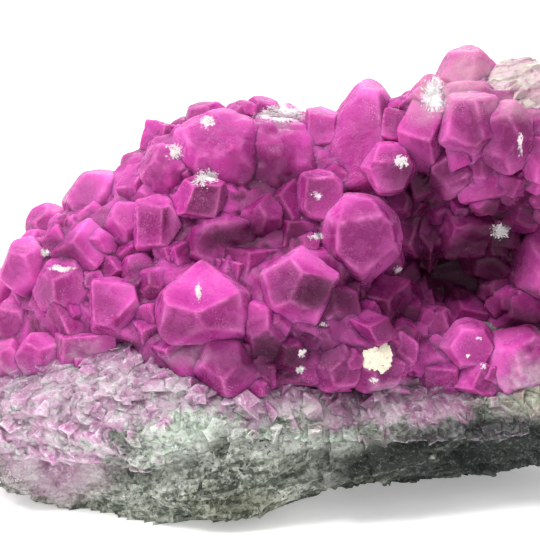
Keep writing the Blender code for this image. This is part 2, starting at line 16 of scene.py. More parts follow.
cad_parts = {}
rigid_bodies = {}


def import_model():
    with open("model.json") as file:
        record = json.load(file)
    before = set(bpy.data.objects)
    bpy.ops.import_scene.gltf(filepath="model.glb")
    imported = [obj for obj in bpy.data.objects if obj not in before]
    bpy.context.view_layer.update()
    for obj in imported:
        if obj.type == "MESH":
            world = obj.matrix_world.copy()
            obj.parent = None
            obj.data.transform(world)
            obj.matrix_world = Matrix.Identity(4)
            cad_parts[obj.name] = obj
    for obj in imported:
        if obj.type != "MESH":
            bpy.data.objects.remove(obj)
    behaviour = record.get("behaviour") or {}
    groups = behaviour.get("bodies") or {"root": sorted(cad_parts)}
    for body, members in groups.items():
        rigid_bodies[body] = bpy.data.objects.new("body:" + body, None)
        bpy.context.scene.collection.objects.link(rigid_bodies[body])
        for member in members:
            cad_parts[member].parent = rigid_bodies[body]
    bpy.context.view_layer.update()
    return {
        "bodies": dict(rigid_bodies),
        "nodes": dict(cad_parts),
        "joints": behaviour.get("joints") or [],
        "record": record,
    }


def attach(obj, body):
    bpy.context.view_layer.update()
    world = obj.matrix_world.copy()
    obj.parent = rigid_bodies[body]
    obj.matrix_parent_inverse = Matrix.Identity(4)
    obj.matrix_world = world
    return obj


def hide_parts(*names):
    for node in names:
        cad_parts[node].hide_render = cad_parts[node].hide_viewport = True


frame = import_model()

MM = 0.001
PER_METRE = 1000            # textures are given per millimetre, and the shader works in metres

# ---- Driving dimensions, in millimetres -------------------------------------------------------
HEART = Vector((5, 8, 29))  # the rock and its layers are skins, drawn out from this point inside it
GRID_CUTS = 12              # a skin starts as a cube with this many cuts
GRID_STRETCH = (1.25, 0.8, 0.95)    # spreads the cube's points evenly over the long, flat rock
FARTHEST = 95               # no part of the rock is farther from its heart
BLEND = 6                   # how softly neighbouring lumps of rock run into each other
SEAM_THICKNESS = 2.2        # how far the pale seam stands out of the rock
CRUST_THICKNESS = 3.6       # the layer from which the crystals grow
BED_HEIGHT = 8              # the rock's layers, which rise to the right and show as low ledges
BED_RISE = 0.22
LEDGE = 1
BROKEN_SIZE = 17            # width and slope of the rock's broken faces
BROKEN_TILT = 0.5
BURIED = 2.5                # how far a skin dips under the rock where its layer is missing
CREST_ROOM = 6.8            # the rock's crest stays this far below the front's upper outline
BARE_ROOM = 0.5             # the same, where no crust covers it
CRUST_BACK = 13             # the crust ends here, on its way over the top to the broken back
SEAM_BACK = 8
SEAM_UNDER_CRUST = 5        # the seam reaches this far up under the crust
SEAM_OFF_GROUND = 5

# The front is laid out as seen from a point 324 mm away and 15 degrees up. "Across" and "up" below
# are places on the plane through AIM, square to that line of sight.
AIM = Vector((-8, 0, 35))
EYE_DISTANCE = 324
EYE_LIFT = math.radians(15)
FORWARD = Vector((0, math.cos(EYE_LIFT), -math.sin(EYE_LIFT)))
UPWARD = Vector((0, math.sin(EYE_LIFT), math.cos(EYE_LIFT)))
EYE = AIM - FORWARD * EYE_DISTANCE

# Lumps of the host rock: centre, then half sizes along X, Y and Z.
ROCK_LUMPS = {
    "base": ((0, 3, 11), (50, 25, 13)),
    "left_foot": ((-36, -6, 13), (18, 17, 15)),
    "front_bulge": ((-20, -13, 12), (20, 14, 14)),
    "right_foot": ((38, -1, 17), (20, 17, 12)),
    "back_wall": ((6, 13, 32), (42, 13, 27)),
    "left_shoulder": ((-22, 5, 31), (24, 15, 17)),
    "mid_crown": ((-8, 6, 39), (18, 12, 15)),
    "mid_slope": ((-5, -2, 26), (26, 14, 14)),
    "right_crown": ((28, 5, 53), (22, 14, 15)),
    "right_end": ((44, 6, 38), (12, 14, 20)),
}
POCKET = ((22, -8, 34.5), (16, 16, 8.5))

# Broken faces: a point on each and the way it looks. What stands in front of one is broken off.
ROCK_BREAKS = {
    "back_left": ((-20, 23, 30), (-0.35, 1, 0.12)),
    "back_middle": ((5, 25, 30), (0.06, 1, -0.1)),
    "back_right": ((34, 20, 34), (0.45, 1, 0.2)),
    "back_top": ((2, 20, 52), (-0.1, 0.8, 1)),
    "top_right": ((40, 8, 66), (0.35, 0.3, 1)),
    "end_right": ((55, 2, 30), (1, -0.12, 0.1)),
    "end_left": ((-51, 0, 18), (-1, 0.1, 0.25)),
    "toe_left": ((-30, -21, 8), (-0.3, -1, -0.3)),
    "toe_middle": ((-6, -23, 8), (0.15, -1, -0.2)),
    "toe_right": ((34, -17, 12), (0.2, -1, -0.35)),
    "back_foot": ((10, 27, 6), (0.1, 1, -0.5)),
}

# Edges on the front, each a list of (across, up).
CRYSTAL_EDGE = [(-60, -16), (-43, -17), (-37, -15.5), (-32, -13), (-27, -13.5), (-21, -11), (-17.5, -13),
                (-13.5, -16.5), (-6.5, -20), (-1.5, -19), (3, -17.5), (9.5, -18.5), (24, -18.5),
                (29, -20), (37, -18.5), (43, -10.5), (55, -5), (68, 6)]
SEAM_EDGE = [(-60, -29), (-43, -30), (-20, -32), (-11, -27), (10, -28), (37, -27.5), (43, -24), (60, -14)]
BARE_CORNER = (35, 25)      # right of and above this the crust is missing and pale rock shows

# The upper outline of the front. Small crystals that would stand above it are left out.
TOP_EDGE = [(-60, -8), (-43, 1.5), (-41, 5), (-38.5, 9), (-32.5, 10.5), (-31, 13), (-29, 15), (-21, 16.5),
            (-19.5, 20), (-18, 24.5), (-14.5, 24.5), (-12, 26.5), (-1.5, 27.5), (5, 25.5), (10.5, 25.5),
            (12, 24), (16.5, 29), (24, 29.5), (27, 32.5), (28.5, 35), (35, 35.5), (43, 34.5),
            (52, 29), (60, 20)]

# The lower outline of the front. The rock overhangs the ground to the right of its middle.
BOTTOM_EDGE = [(-60, -31), (-43, -35.5), (-33, -38.5), (-27, -39.5), (-21, -41), (-13, -41), (-2, -39.5),
               (3, -37.5), (10, -35), (18, -34), (26, -33.5), (37, -32), (43, -31), (60, -27)]

# The crystals that stand out, each with the faces it shows. A face is a direction (right, up, towards
# the eye) and its distance from the centre as a share of the crystal's size.
MAIN_CRYSTALS = {
    # name: (across, up, half width, half height, stands out, faces)
    "great_bead": (14.5, 5.5, 6.1, 6.5, 0.35, [
        ((0.1, -0.15, 1), 0.82), ((-0.1, 0.75, 0.65), 0.88), ((-1, 0, 0.35), 0.9), ((0.65, 0.65, 0.3), 0.93),
        ((-0.55, -0.85, 0.3), 0.94), ((0.6, -0.75, 0.35), 0.92), ((1, 0.1, 0.25), 0.95),
        ((-0.65, 0.6, 0.35), 0.94), ((0.05, 1, 0.15), 0.97)]),
    "peak": (16, 19.3, 8.6, 10.4, -0.4, [
        ((-0.42, 0.3, 0.86), 0.64), ((0.72, 0.32, 0.62), 0.66), ((0.05, 0.95, 0.3), 0.95),
        ((-0.72, 0.68, 0.15), 0.8), ((0.75, 0.62, 0.15), 0.8), ((-1, 0, 0.1), 0.93), ((1, 0, 0.1), 0.93),
        ((0, -0.9, 0.45), 0.85)]),
    "hex_bead": (19.2, 16.3, 3.9, 4, 1, [
        ((0, -0.35, 0.95), 0.74), ((0.05, 0.6, 0.8), 0.8), ((0, 1, 0.2), 0.97), ((-0.85, 0.5, 0.25), 0.93),
        ((-0.87, -0.45, 0.25), 0.93), ((0.1, -1, 0.2), 0.97), ((0.87, -0.5, 0.25), 0.92),
        ((0.87, 0.5, 0.2), 0.93)]),
    "block": (8, 11.7, 3.8, 4.3, 0.5, [
        ((0.15, -0.1, 1), 0.76), ((-1, 0.05, 0.35), 0.86), ((0, 1, 0.3), 0.9), ((1, 0, 0.1), 0.95),
        ((-0.1, -1, 0.25), 0.94), ((-0.7, -0.7, 0.25), 0.97), ((0.7, 0.7, 0.2), 1.0)]),
    "hanging_rhomb": (8.3, 21.6, 3.3, 4.5, 0.55, [
        ((-0.1, 0.05, 1), 0.7), ((0.95, 0.05, 0.35), 0.85), ((-1, 0.1, 0.25), 0.85), ((0.1, 1, 0.3), 0.85),
        ((0.05, -0.75, 0.62), 0.7), ((-0.8, -0.6, 0.25), 0.74), ((0.8, -0.6, 0.25), 0.74)]),
    "broad_crystal": (-10.4, -5.6, 7.0, 6.6, 0.4, [
        ((-0.12, 0.72, 0.68), 0.5), ((0.35, -0.02, 0.93), 0.78), ((-0.5, -0.35, 0.8), 0.84),
        ((0.1, -0.85, 0.5), 0.84), ((0.93, 0.05, 0.35), 0.95), ((-0.95, 0.1, 0.3), 0.95),
        ((-0.65, 0.75, 0.1), 0.86), ((0.55, 0.8, 0.1), 0.8), ((0, -1, -0.1), 0.95)]),
    "lit_crystal": (4.4, -2.7, 5.3, 5.7, 0.45, [
        ((0.42, 0.76, 0.5), 0.76), ((-0.45, 0.3, 0.85), 0.74), ((0.45, -0.12, 0.9), 0.72),
        ((0.05, -0.78, 0.62), 0.82), ((-0.95, -0.15, 0.3), 0.95), ((0.9, -0.45, 0.2), 0.92),
        ((-0.5, 0.85, 0.15), 0.86), ((-0.55, -0.85, 0.1), 0.95)]),
    "star_rhomb": (-11, 11.2, 3.8, 3.4, 0.9, [
        ((0.1, -0.15, 0.97), 0.66), ((-0.8, 0.2, 0.55), 0.78), ((0, 0.9, 0.45), 0.9),
        ((0.88, -0.2, 0.35), 0.88), ((-0.15, -0.95, 0.3), 0.85)]),
    "shoulder_bead": (-27.3, 10.8, 5.7, 5.3, 0.2, [
        ((-0.3, 0.3, 0.9), 0.84), ((0.45, -0.1, 0.88), 0.84), ((-0.8, 0.55, 0.2), 0.9), ((0, 1, 0.15), 0.94),
        ((0.85, 0.5, 0.15), 0.93), ((-0.9, -0.3, 0.3), 0.92), ((-0.2, -0.9, 0.4), 0.85),
        ((0.7, -0.65, 0.3), 0.92)]),
    "tall_rhomb": (-18, 7.2, 3.8, 4.4, 0.4, [
        ((-0.35, 0.05, 0.93), 0.72), ((0.6, 0, 0.8), 0.8), ((0, 0.9, 0.4), 0.9), ((-0.95, 0, 0.25), 0.92),
        ((0, -0.95, 0.3), 0.92), ((0.85, -0.5, 0.2), 0.88), ((0.85, 0.5, 0.2), 0.92)]),
    "leaning_rhomb": (-24.5, -6.2, 4.3, 4.9, 0.4, [
        ((-0.1, 0.25, 0.96), 0.72), ((0.55, -0.5, 0.67), 0.72), ((0.1, 1, 0.2), 0.9), ((-1, 0, 0.2), 0.93),
        ((-0.15, -0.9, 0.4), 0.85), ((0.95, 0.25, 0.2), 0.93)]),
    "rim_bead": (32, -12.3, 4.3, 4.1, 0.55, [
        ((0, 0.05, 1), 0.85), ((0, 1, 0.35), 0.93), ((0.85, 0.5, 0.35), 0.93), ((0.87, -0.5, 0.35), 0.93),
        ((0, -1, 0.35), 0.93), ((-0.87, -0.5, 0.35), 0.93), ((-0.85, 0.5, 0.35), 0.93)]),
    "brow_bead": (32.2, 23.1, 4.7, 5.2, 0.35, [
        ((-0.25, 0.1, 0.95), 0.82), ((0.5, 0.25, 0.82), 0.86), ((0, 0.95, 0.3), 0.92),
        ((-0.95, 0.2, 0.25), 0.92), ((-0.4, -0.85, 0.35), 0.9), ((0.5, -0.8, 0.35), 0.9),
        ((0.95, 0.1, 0.2), 0.95)]),
    "top_crystal": (31.7, 31.5, 4.8, 4.3, 0.1, [
        ((-0.35, 0.2, 0.9), 0.8), ((0.5, 0.05, 0.85), 0.82), ((-0.15, 0.95, 0.3), 0.9),
        ((-0.9, 0.35, 0.2), 0.9), ((0.7, 0.7, 0.15), 0.9), ((-0.6, -0.7, 0.3), 0.92),
        ((0.8, -0.55, 0.2), 0.92)]),
}
# The faces of their hidden side, the same on each.
BACK_FACES = [((0, 0, -1), 0.9), ((0.7, 0.7, -0.6), 1.0), ((-0.7, 0.7, -0.6), 1.0),
              ((0.7, -0.7, -0.6), 1.0), ((-0.7, -0.7, -0.6), 1.0)]

# The other crystals on the front: across, up, half width, half height, habit.
FRONT_CRYSTALS = [
    # left shoulder
    (-35.5, 7, 3.5, 3.5, "bead"), (-38.5, 0.5, 4.5, 4.3, "bead"), (-21.5, 12.7, 2.4, 3.8, "rhomb"),
    (-30, 3.5, 3.3, 3.2, "rhomb"), (-33, -2.7, 3.8, 4, "bead"), (-22, 3, 1.8, 1.6, "rhomb"),
    (-15, 2.5, 2.5, 2.2, "rhomb"), (-39.5, -8.5, 4, 3.8, "bead"), (-37, -14, 3, 3, "bead"),
    (-32, -9, 3, 3.2, "rhomb"), (-30, -12, 4.5, 2.4, "rhomb"), (-42, -15, 2.5, 3, "bead"),
    (-28.5, -2, 2, 2, "bead"), (-25, 0, 2, 1.6, "rhomb"), (-18.5, -2.2, 2.2, 2, "bead"),
    (-42.5, -4, 3, 3, "bead"),
    # middle, under the crest
    (21, 11.5, 2, 2.5, "bead"), (21.8, 6.5, 2.6, 3.4, "rhomb"), (-1, 8, 2.8, 3.2, "bead"),
    (2, 10.5, 3, 3, "rhomb"), (3.5, 6, 2.4, 2.2, "rhomb"), (-7, 5, 5, 4, "mass"),
    (-3.5, 1.5, 3.8, 2.6, "rhomb"),
    # crest
    (-10, 24, 4, 3, "bead"), (-4.5, 25, 2.2, 1.8, "bead"), (-1.3, 25.2, 2.4, 2.2, "bead"),
    (2.5, 24, 3.2, 2, "rhomb"), (-7, 19, 5.5, 5, "mass"), (1, 17.5, 5.5, 5, "mass"),
    (-17, 21, 3.2, 3.5, "rhomb"), (-16.5, 15.5, 3.5, 4, "bead"),
    # lower edge
    (-1, -9.5, 3.1, 3.8, "bead"), (-6.7, -15.8, 4, 4, "bead"), (10.2, -6.2, 3.4, 3.4, "nail"),
    (9.1, -11, 2.4, 2.2, "nail"), (10.7, -15, 3.4, 3.4, "bead"), (16.5, -9.3, 3.2, 2.4, "rhomb"),
    (20.8, -13.3, 2.8, 3.1, "nail"), (17, -15.8, 4.2, 3.6, "bead"), (17, -5, 4.5, 3, "rhomb"),
    (26.4, -9.8, 2.9, 3.2, "bead"), (31.2, -6.7, 2.8, 2.6, "rhomb"), (28, -16.5, 3, 3, "rhomb"),
    (33.5, -18, 3, 2.5, "rhomb"), (19.3, -19.3, 3.2, 1.8, "rhomb"), (24.5, -5.5, 1.6, 3, "rhomb"),
    (-16, -13, 2, 2, "rhomb"), (3, -13, 2.5, 2.5, "bead"),
    # pocket and its right wall
    (39.7, -6.7, 4, 3.6, "bead"), (43.8, 1.2, 3.6, 5, "bead"), (31, 7, 3.7, 3.6, "rhomb"),
    (36, 5.5, 3, 3, "rhomb"), (35, 1.5, 3.5, 2.6, "bead"), (25.5, 5, 1.6, 3.4, "rhomb"),
    (21.5, -1, 2, 2, "rhomb"), (40.5, -15, 4.5, 4.5, "bead"),
    # brow over the pocket
    (25, 27.5, 3, 2.6, "rhomb"), (38, 21.5, 4.2, 5.2, "bead"), (29, 15.5, 3, 3.2, "nail"),
    (25, 21.5, 3, 4, "rhomb"), (36.5, 14.4, 4.5, 3.6, "rhomb"), (44, 17.5, 3.4, 4, "bead"),
]
CREAM_PATCH = (17, -14, 2.3, 2.4)   # across, up, half width and half height on the lower edge
PATCH_LIFT = 1.1            # how far the patch stands out

DARK_HOLE = (29, -1, 3.5)   # across, up and half width of the gap at the back of the pocket
FRONT_END = 44              # right of this, and further back than this, the fillers are larger
FRONT_BACK = 4
FILLER_SEED = 41
FILLER_COUNT = 24
FILLER_SIZES = (1.8, 3.2)

# ---- Calcite habits ----------------------------------------------------------------------------
# Each family of faces: tilt from the crystal's long axis, turns round it, and distance from the centre
# as a share of the half width. The lower half is the upper one turned by 60 degrees.
HABITS = {
    "rhomb": [(45, (0, 120, 240), 0.7)],
    "bead": [(40, (0, 120, 240), 0.88), (74, (60, 180, 300), 0.9)],
    "nail": [(27, (60, 180, 300), 0.74), (90, (30, 90, 150, 210, 270, 330), 0.9)],
    "mass": [(36, (0, 120, 240), 0.85), (74, (60, 180, 300), 0.95)],
}
STANDS_OUT = {"rhomb": 0.25, "bead": 0.25, "nail": 0.25, "mass": -0.15}
FACE_SPREAD = 0.07          # how unevenly one crystal's faces have grown

# ---- The front as the eye sees it --------------------------------------------------------------
def see(points):
    """Across and up of each point, as seen from the eye."""
    ray = points - np.array(EYE)
    depth = ray @ np.array(FORWARD)
    return ray[:, 0] / depth * EYE_DISTANCE, ray @ np.array(UPWARD) / depth * EYE_DISTANCE


def at_reach(directions, reach):
    """The points this far from the rock's heart."""
    return np.array(HEART) + directions * reach[:, None]


def away(points, middle):
    """The direction and the distance of each point from a middle."""
    gap = points - np.array(middle)
    reach = np.linalg.norm(gap, axis=1)
    return gap / reach[:, None], reach


def edge_height(edge, across):
    return np.interp(across, [p[0] for p in edge], [p[1] for p in edge])


def fade(distance, width):
    """0 to 1 as distance goes from half a width below zero to half a width above it."""
    return np.clip(distance / width + 0.5, 0, 1)


# ---- Host rock ---------------------------------------------------------------------------------
def ellipsoid_distance(points, centre, radii):
    """About how far each point is outside an ellipsoid."""
    local = points - np.array(centre, dtype=float)
    radii = np.array(radii, dtype=float)
    scaled = np.linalg.norm(local / radii, axis=1)
    slope = np.linalg.norm(local / radii ** 2, axis=1)
    return scaled * (scaled - 1) / np.maximum(slope, 1e-6)


def smooth_smaller(a, b, softness):
    mix = fade(b - a, 2 * softness)
    return b * (1 - mix) + a * mix - softness * mix * (1 - mix)


def rock_distance(points):
    """About how far each point is outside the lumps of rock, less the pocket."""
    nearest = np.full(len(points), 1e3)
    for centre, radii in ROCK_LUMPS.values():
        nearest = smooth_smaller(nearest, ellipsoid_distance(points, centre, radii), BLEND)
    pocket = ellipsoid_distance(points, *POCKET)
    return -smooth_smaller(-nearest, pocket, BLEND / 2)


def trace_rock(directions):
    """The distance from the heart to the rock's outside in each direction."""
    heart = np.array(HEART)
    reach = np.full(len(directions), float(FARTHEST))
    for _ in range(120):
        reach -= 0.6 * rock_distance(heart + directions * reach[:, None])
        reach = np.clip(reach, 4, FARTHEST)
    for point, outward in ROCK_BREAKS.values():
        outward = np.array(outward) / np.linalg.norm(outward)
        room = (np.array(point) - heart) @ outward
        along = directions @ outward
        facing = along > 1e-3
        reach[facing] = np.minimum(reach[facing], room / along[facing])
    return reach


def broken_faces(place, size):
    """A height that makes flat, tilted faces about this wide, with steps between them."""
    _, middles = noise.voronoi(place / size)
    middle = middles[0]
    lean = noise.cell_vector(middle * 9.7) - Vector((0.5, 0.5, 0.5))
    return lean.dot(place - middle * size)


def rough_rock(directions, reach):
    """Adds the broken faces and ledges of the rock."""
    rough = np.empty(len(reach))
    for index, (direction, length) in enumerate(zip(directions, reach)):
        place = HEART + Vector(direction) * length
        bedding = (place.z - BED_RISE * place.x + 3 * noise.noise(place / 20)) / BED_HEIGHT
        ledge = LEDGE * (bedding - math.floor(bedding))
        rough[index] = length + ledge + BROKEN_TILT * broken_faces(place, BROKEN_SIZE)
    return rough


def keep_in_outline(directions, reach):
    """Draws the rock in to the front's lower outline, and its crest in to leave room for the crystals."""
    reach = reach.copy()
    for _ in range(40):
        across, up = see(at_reach(directions, reach))
        bare = fade(across - BARE_CORNER[0], 3)
        room = CREST_ROOM * (1 - bare) + BARE_ROOM * bare
        over = up > edge_height(TOP_EDGE, across) - room
        under = up < edge_height(BOTTOM_EDGE, across)
        reach[over | under] *= 0.985
    return reach


def rest_on_ground(directions, reach):
    down = directions[:, 2] < -1e-3
    reach[down] = np.minimum(reach[down], -HEART.z / directions[down, 2])
    return reach


# ---- Where each layer lies ---------------------------------------------------------------------
def crust_cover(points):
    """1 where the crystal crust covers the rock, 0 where the rock is bare."""
    across, up = see(points)
    above_edge = fade(up - edge_height(CRYSTAL_EDGE, across), 1.5)
    back = CRUST_BACK + 2.5 * np.sin(points[:, 0] / 6) + 1.5 * np.sin(points[:, 2] / 4 + 1)
    before_back = fade(back - points[:, 1], 2)
    in_corner = fade(across - BARE_CORNER[0], 2) * fade(up - BARE_CORNER[1], 2)
    return above_edge * before_back * (1 - in_corner)


def seam_cover(points):
    """1 where the pale seam covers the rock: a band from its lower edge to well under the crust."""
    across, up = see(points)
    above_edge = fade(up - edge_height(SEAM_EDGE, across), 2)
    under_crust = fade(edge_height(CRYSTAL_EDGE, across) + SEAM_UNDER_CRUST - up, 2)
    before_back = fade(SEAM_BACK - points[:, 1], 2)
    return above_edge * under_crust * before_back * fade(points[:, 2] - SEAM_OFF_GROUND, 2)


class Skins:
    """The rock and the layers on it: one cube-shaped net of directions, and a reach for each layer."""

    def __init__(self, cuts):
        net = bmesh.new()
        bmesh.ops.create_cube(net, size=2)
        bmesh.ops.subdivide_edges(net, edges=net.edges, cuts=cuts, use_grid_fill=True)
        bmesh.ops.triangulate(net, faces=net.faces, quad_method="FIXED")
        corners = np.array([v.co for v in net.verts])
        corners = np.tan(corners * math.pi / 4) * np.array(GRID_STRETCH)
        self.net = net
        self.directions = corners / np.linalg.norm(corners, axis=1)[:, None]
        bare = rough_rock(self.directions, trace_rock(self.directions))
        self.rock = keep_in_outline(self.directions, rest_on_ground(self.directions, bare))
        points = self.points(self.rock)
        self.covered = crust_cover(points)
        self.seam = self.rock + (SEAM_THICKNESS + BURIED) * seam_cover(points) - BURIED
        self.crust = self.rock + (CRUST_THICKNESS + BURIED) * self.covered - BURIED

    def points(self, reach):
        return at_reach(self.directions, reach)

    def shape(self, reach):
        """A closed shape at the given reach."""
        skin = self.net.copy()
        for vertex, place in zip(skin.verts, self.points(reach)):
            vertex.co = place
        return skin


# ---- Crystals ----------------------------------------------------------------------------------
def crystal_faces(habit, rng):
    """The outward direction and distance of each face of a crystal of half width 1."""
    faces = []
    for tilt, turns, distance in HABITS[habit]:
        tilt = math.radians(tilt)
        for turn in turns:
            for side in (1, -1):
                if math.cos(tilt) < 1e-3 and side < 0:
                    continue
                angle = math.radians(turn if side > 0 else turn + 60)
                outward = Vector((math.sin(tilt) * math.cos(angle), math.sin(tilt) * math.sin(angle),
                                  side * math.cos(tilt)))
                faces.append((outward, distance * (1 + rng.uniform(-FACE_SPREAD, FACE_SPREAD))))
    return faces


def front_frame():
    """The turn from (right, up, towards the eye) to the model's axes."""
    return Matrix((Vector((1, 0, 0)), UPWARD, -FORWARD)).transposed()


def stretched(half_width, half_height):
    """A stretch to the given half sizes as seen from the eye."""
    frame = front_frame()
    sizes = Matrix.Diagonal((half_width, half_height, (half_width + half_height) / 2))
    return (frame @ sizes @ frame.transposed()).to_4x4()


def turn_to(long_axis, spin):
    upright = Vector((0, 0, 1)).rotation_difference(long_axis.normalized()).to_matrix().to_4x4()
    return upright @ Matrix.Rotation(spin, 4, "Z")


def wander(rng, amount):
    return Vector((rng.uniform(-1, 1), rng.uniform(-1, 1), rng.uniform(-1, 1))) * amount


def meet_surface(tree, across, up):
    """Where the line of sight through a place on the front meets the crust, or passes nearest to it."""
    target = AIM + Vector((1, 0, 0)) * across + UPWARD * up
    sight = (target - EYE).normalized()
    place, normal, _, _ = tree.ray_cast(EYE, sight)
    if place:
        return place, normal, sight
    steps = [EYE + sight * (EYE_DISTANCE - 30 + step * 1.2) for step in range(60)]
    along = min(steps, key=lambda point: tree.find_nearest(point)[3])
    return along, tree.find_nearest(along)[1], sight


def main_crystals(tree):
    frame = front_frame()
    for across, up, half_width, half_height, stands_out, faces in MAIN_CRYSTALS.values():
        place, _, sight = meet_surface(tree, across, up)
        planes = [((frame @ Vector(outward)).normalized(), distance)
                  for outward, distance in faces + BACK_FACES]
        size = (half_width + half_height) / 2
        yield place - sight * stands_out * size, size, planes, stretched(half_width, half_height)


def front_crystals(tree):
    rng = random.Random(FILLER_SEED)
    for across, up, half_width, half_height, habit in FRONT_CRYSTALS:
        place, normal, sight = meet_surface(tree, across, up)
        size = (half_width + half_height) / 2
        turn = turn_to(normal * 0.6 - sight * 0.5 + wander(rng, 0.45), rng.uniform(0, math.tau))
        yield (place - sight * STANDS_OUT[habit] * size, size, crystal_faces(habit, rng),
               stretched(half_width, half_height) @ turn)


def filler_crystals(skins, skin, taken):
    """Small crystals between the large ones, and larger ones over the right end, away from the front."""
    rng = random.Random(FILLER_SEED + 1)
    open_faces = [face for face in skin.faces if all(skins.covered[v.index] > 0.9 for v in face.verts)]
    rng.shuffle(open_faces)
    added = 0
    for face in open_faces:
        place = face.calc_center_median()
        across, up = (float(value[0]) for value in see(np.array([place])))
        size = rng.uniform(*FILLER_SIZES) * (1.45 if across > FRONT_END or place.y > FRONT_BACK else 1)
        outward = face.normal.copy()
        turn = turn_to(outward + wander(rng, 0.5), rng.uniform(0, math.tau))
        faces = crystal_faces(rng.choice(("rhomb", "bead", "rhomb")), rng)
        in_hole = math.hypot(across - DARK_HOLE[0], up - DARK_HOLE[1]) < DARK_HOLE[2]
        crowded = in_hole or any((place - centre).length < 0.78 * (size + other) for centre, other in taken)
        if crowded or up + size > edge_height(TOP_EDGE, across) or added == FILLER_COUNT:
            continue
        added += 1
        taken.append((place, size))
        yield place + outward * 0.15 * size, size, faces, Matrix.Scale(size, 4) @ turn


# ---- Looks: numbers, in millimetres and degrees -------------------------------------------------
ROCK_CUTS = 80              # the same as GRID_CUTS, for the skins that carry the rock's and seam's grain
ROCK_LEVEL = 0.6            # the middle of the rock's grain, taken off so that it keeps its size
UNDER_CRUST = 2.0           # the rock stays this far under the crust
LEVEL_CRUST = ((36, -9), (8, 5))    # the crust lies nearly level here, so the rock is kept well below it
LEVEL_DEPTH = 7             # by up to this much more
SEAM_LOWEST = 0.4           # the seam's grain ends this far above the ground
SEAM_CUT = 0.8              # the seam is cut off this far inside the rock
DRUSE_CUT = 1.2             # the crystals are cut off this far inside the rock and the seam
KEPT_SHARE = 0.6            # the share of the druse's triangles that is kept
SHARP_ANGLES = {"rock": 38, "seam": 50, "sugar": 62, "patch": 35}   # edges steeper than this stay sharp
SMALL_SEED = 77
SMALL_COUNT = 200
SMALL_TRIES = 12            # places looked at for each small crystal
SMALL_SIZES = (1.6, 3.3)
SMALL_APART = 0.62          # small crystals keep this share of their sizes apart
LARGE_APART = 0.7           # and this share of a larger crystal's size away from it
SUGAR_COUNT = 1700
SUGAR_SIZES = (0.25, 1.2)
PATCH_SUNK = 0.5            # how deep the middle of the cream crust lies in the crystal behind it
PATCH_SPREAD = 1.1          # the crumbs of the cream crust spread this much wider than the patch

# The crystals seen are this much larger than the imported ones, and sit deeper.
SWELL = 1.28
SWELL_OF_MASS = 1.45        # those fused into one another
SWELL_BY_PATCH = 1.08       # those round the cream patch
SWELL_AT_OUTLINE = 1.04     # those that would rise above the front's outline, or stand by the bare corner
OUTLINE_SLACK = 0.6         # a swollen crystal may pass the upper outline by this much
BY_PATCH = 6                # how near the patch that is
BY_CORNER = (2, 8)          # how far left of and below the corner that is
ROUGH = 0.5                 # how broken the faces of the roughest crystals are
MASS_ROUGH = 0.55           # and those of the fused crystals under the crest
SHARP = 20                  # how sharp the edges of most crystals are
BLUNT = 13                  # and those of the crystals that fill the gaps
FINE_FROM = {"front": 2.8, "twin": 2.4, "small": 2.0}   # from this half width on the net is finer
CRUST_RAISED = 1.6          # the crust between the crystals seen stands this much higher
CRUST_LOWERED = 1.2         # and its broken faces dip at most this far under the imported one
SHARPNESS = {"rhomb": 26, "bead": 17, "nail": 13, "mass": 9}
# Painted light: faces turned this way are painted lighter, as if lit from here, and faces turned away are
# painted darker.
PAINTED_LIGHT_FROM = Vector((-0.45, -0.25, 0.86))     # faces turned this way are the lighter ones
# How light each face of some of the main crystals is painted, in the order of its faces above: painted light
# on faces turned to the light, painted shade on faces turned away.
FACE_PAINTED_LIGHT = {
    "broad_crystal": (0.9, 0.15, 0.3, 0.5, 0.35, 0.3, 0.6, 0.4, 0.3),
    "lit_crystal": (0.9, 0.3, 0, 0.5, 0.4, 0.3, 0.6, 0.4),
    "great_bead": (0.35, 0.75, 0.6, 0.6, 0.5, 0.45, 0.5, 0.8, 0.8),
    "star_rhomb": (0.05, 0.7, 0.5, 0, 0.2),
    "hanging_rhomb": (0.85, 0.6, 0.7, 1, 0.25, 0.4, 0.3),
    "peak": (0.65, 0.3, 0.8, 0.7, 0.4, 0.7, 0.3, 0.3),
    "block": (0.45, 1, 0.8, 0.5, 0.4, 0.6, 0.6),
    "tall_rhomb": (0.35, 0.05, 0.7, 0.6, 0.2, 0.1, 0.3),
    "leaning_rhomb": (0.7, 0.2, 0.9, 0.7, 0.3, 0.4),
    "hex_bead": (0.15, 0.8, 0.9, 0.6, 0.5, 0.5, 0.5, 0.6),
    "brow_bead": (0.4, 0.6, 0.9, 0.6, 0.3, 0.3, 0.4),
}
# How strongly each habit is painted with a dark core and a light rim: painted shade and painted light.
CORE_SHARE = {"rhomb": 0.55, "bead": 0.9, "nail": 1, "mass": 0.5}
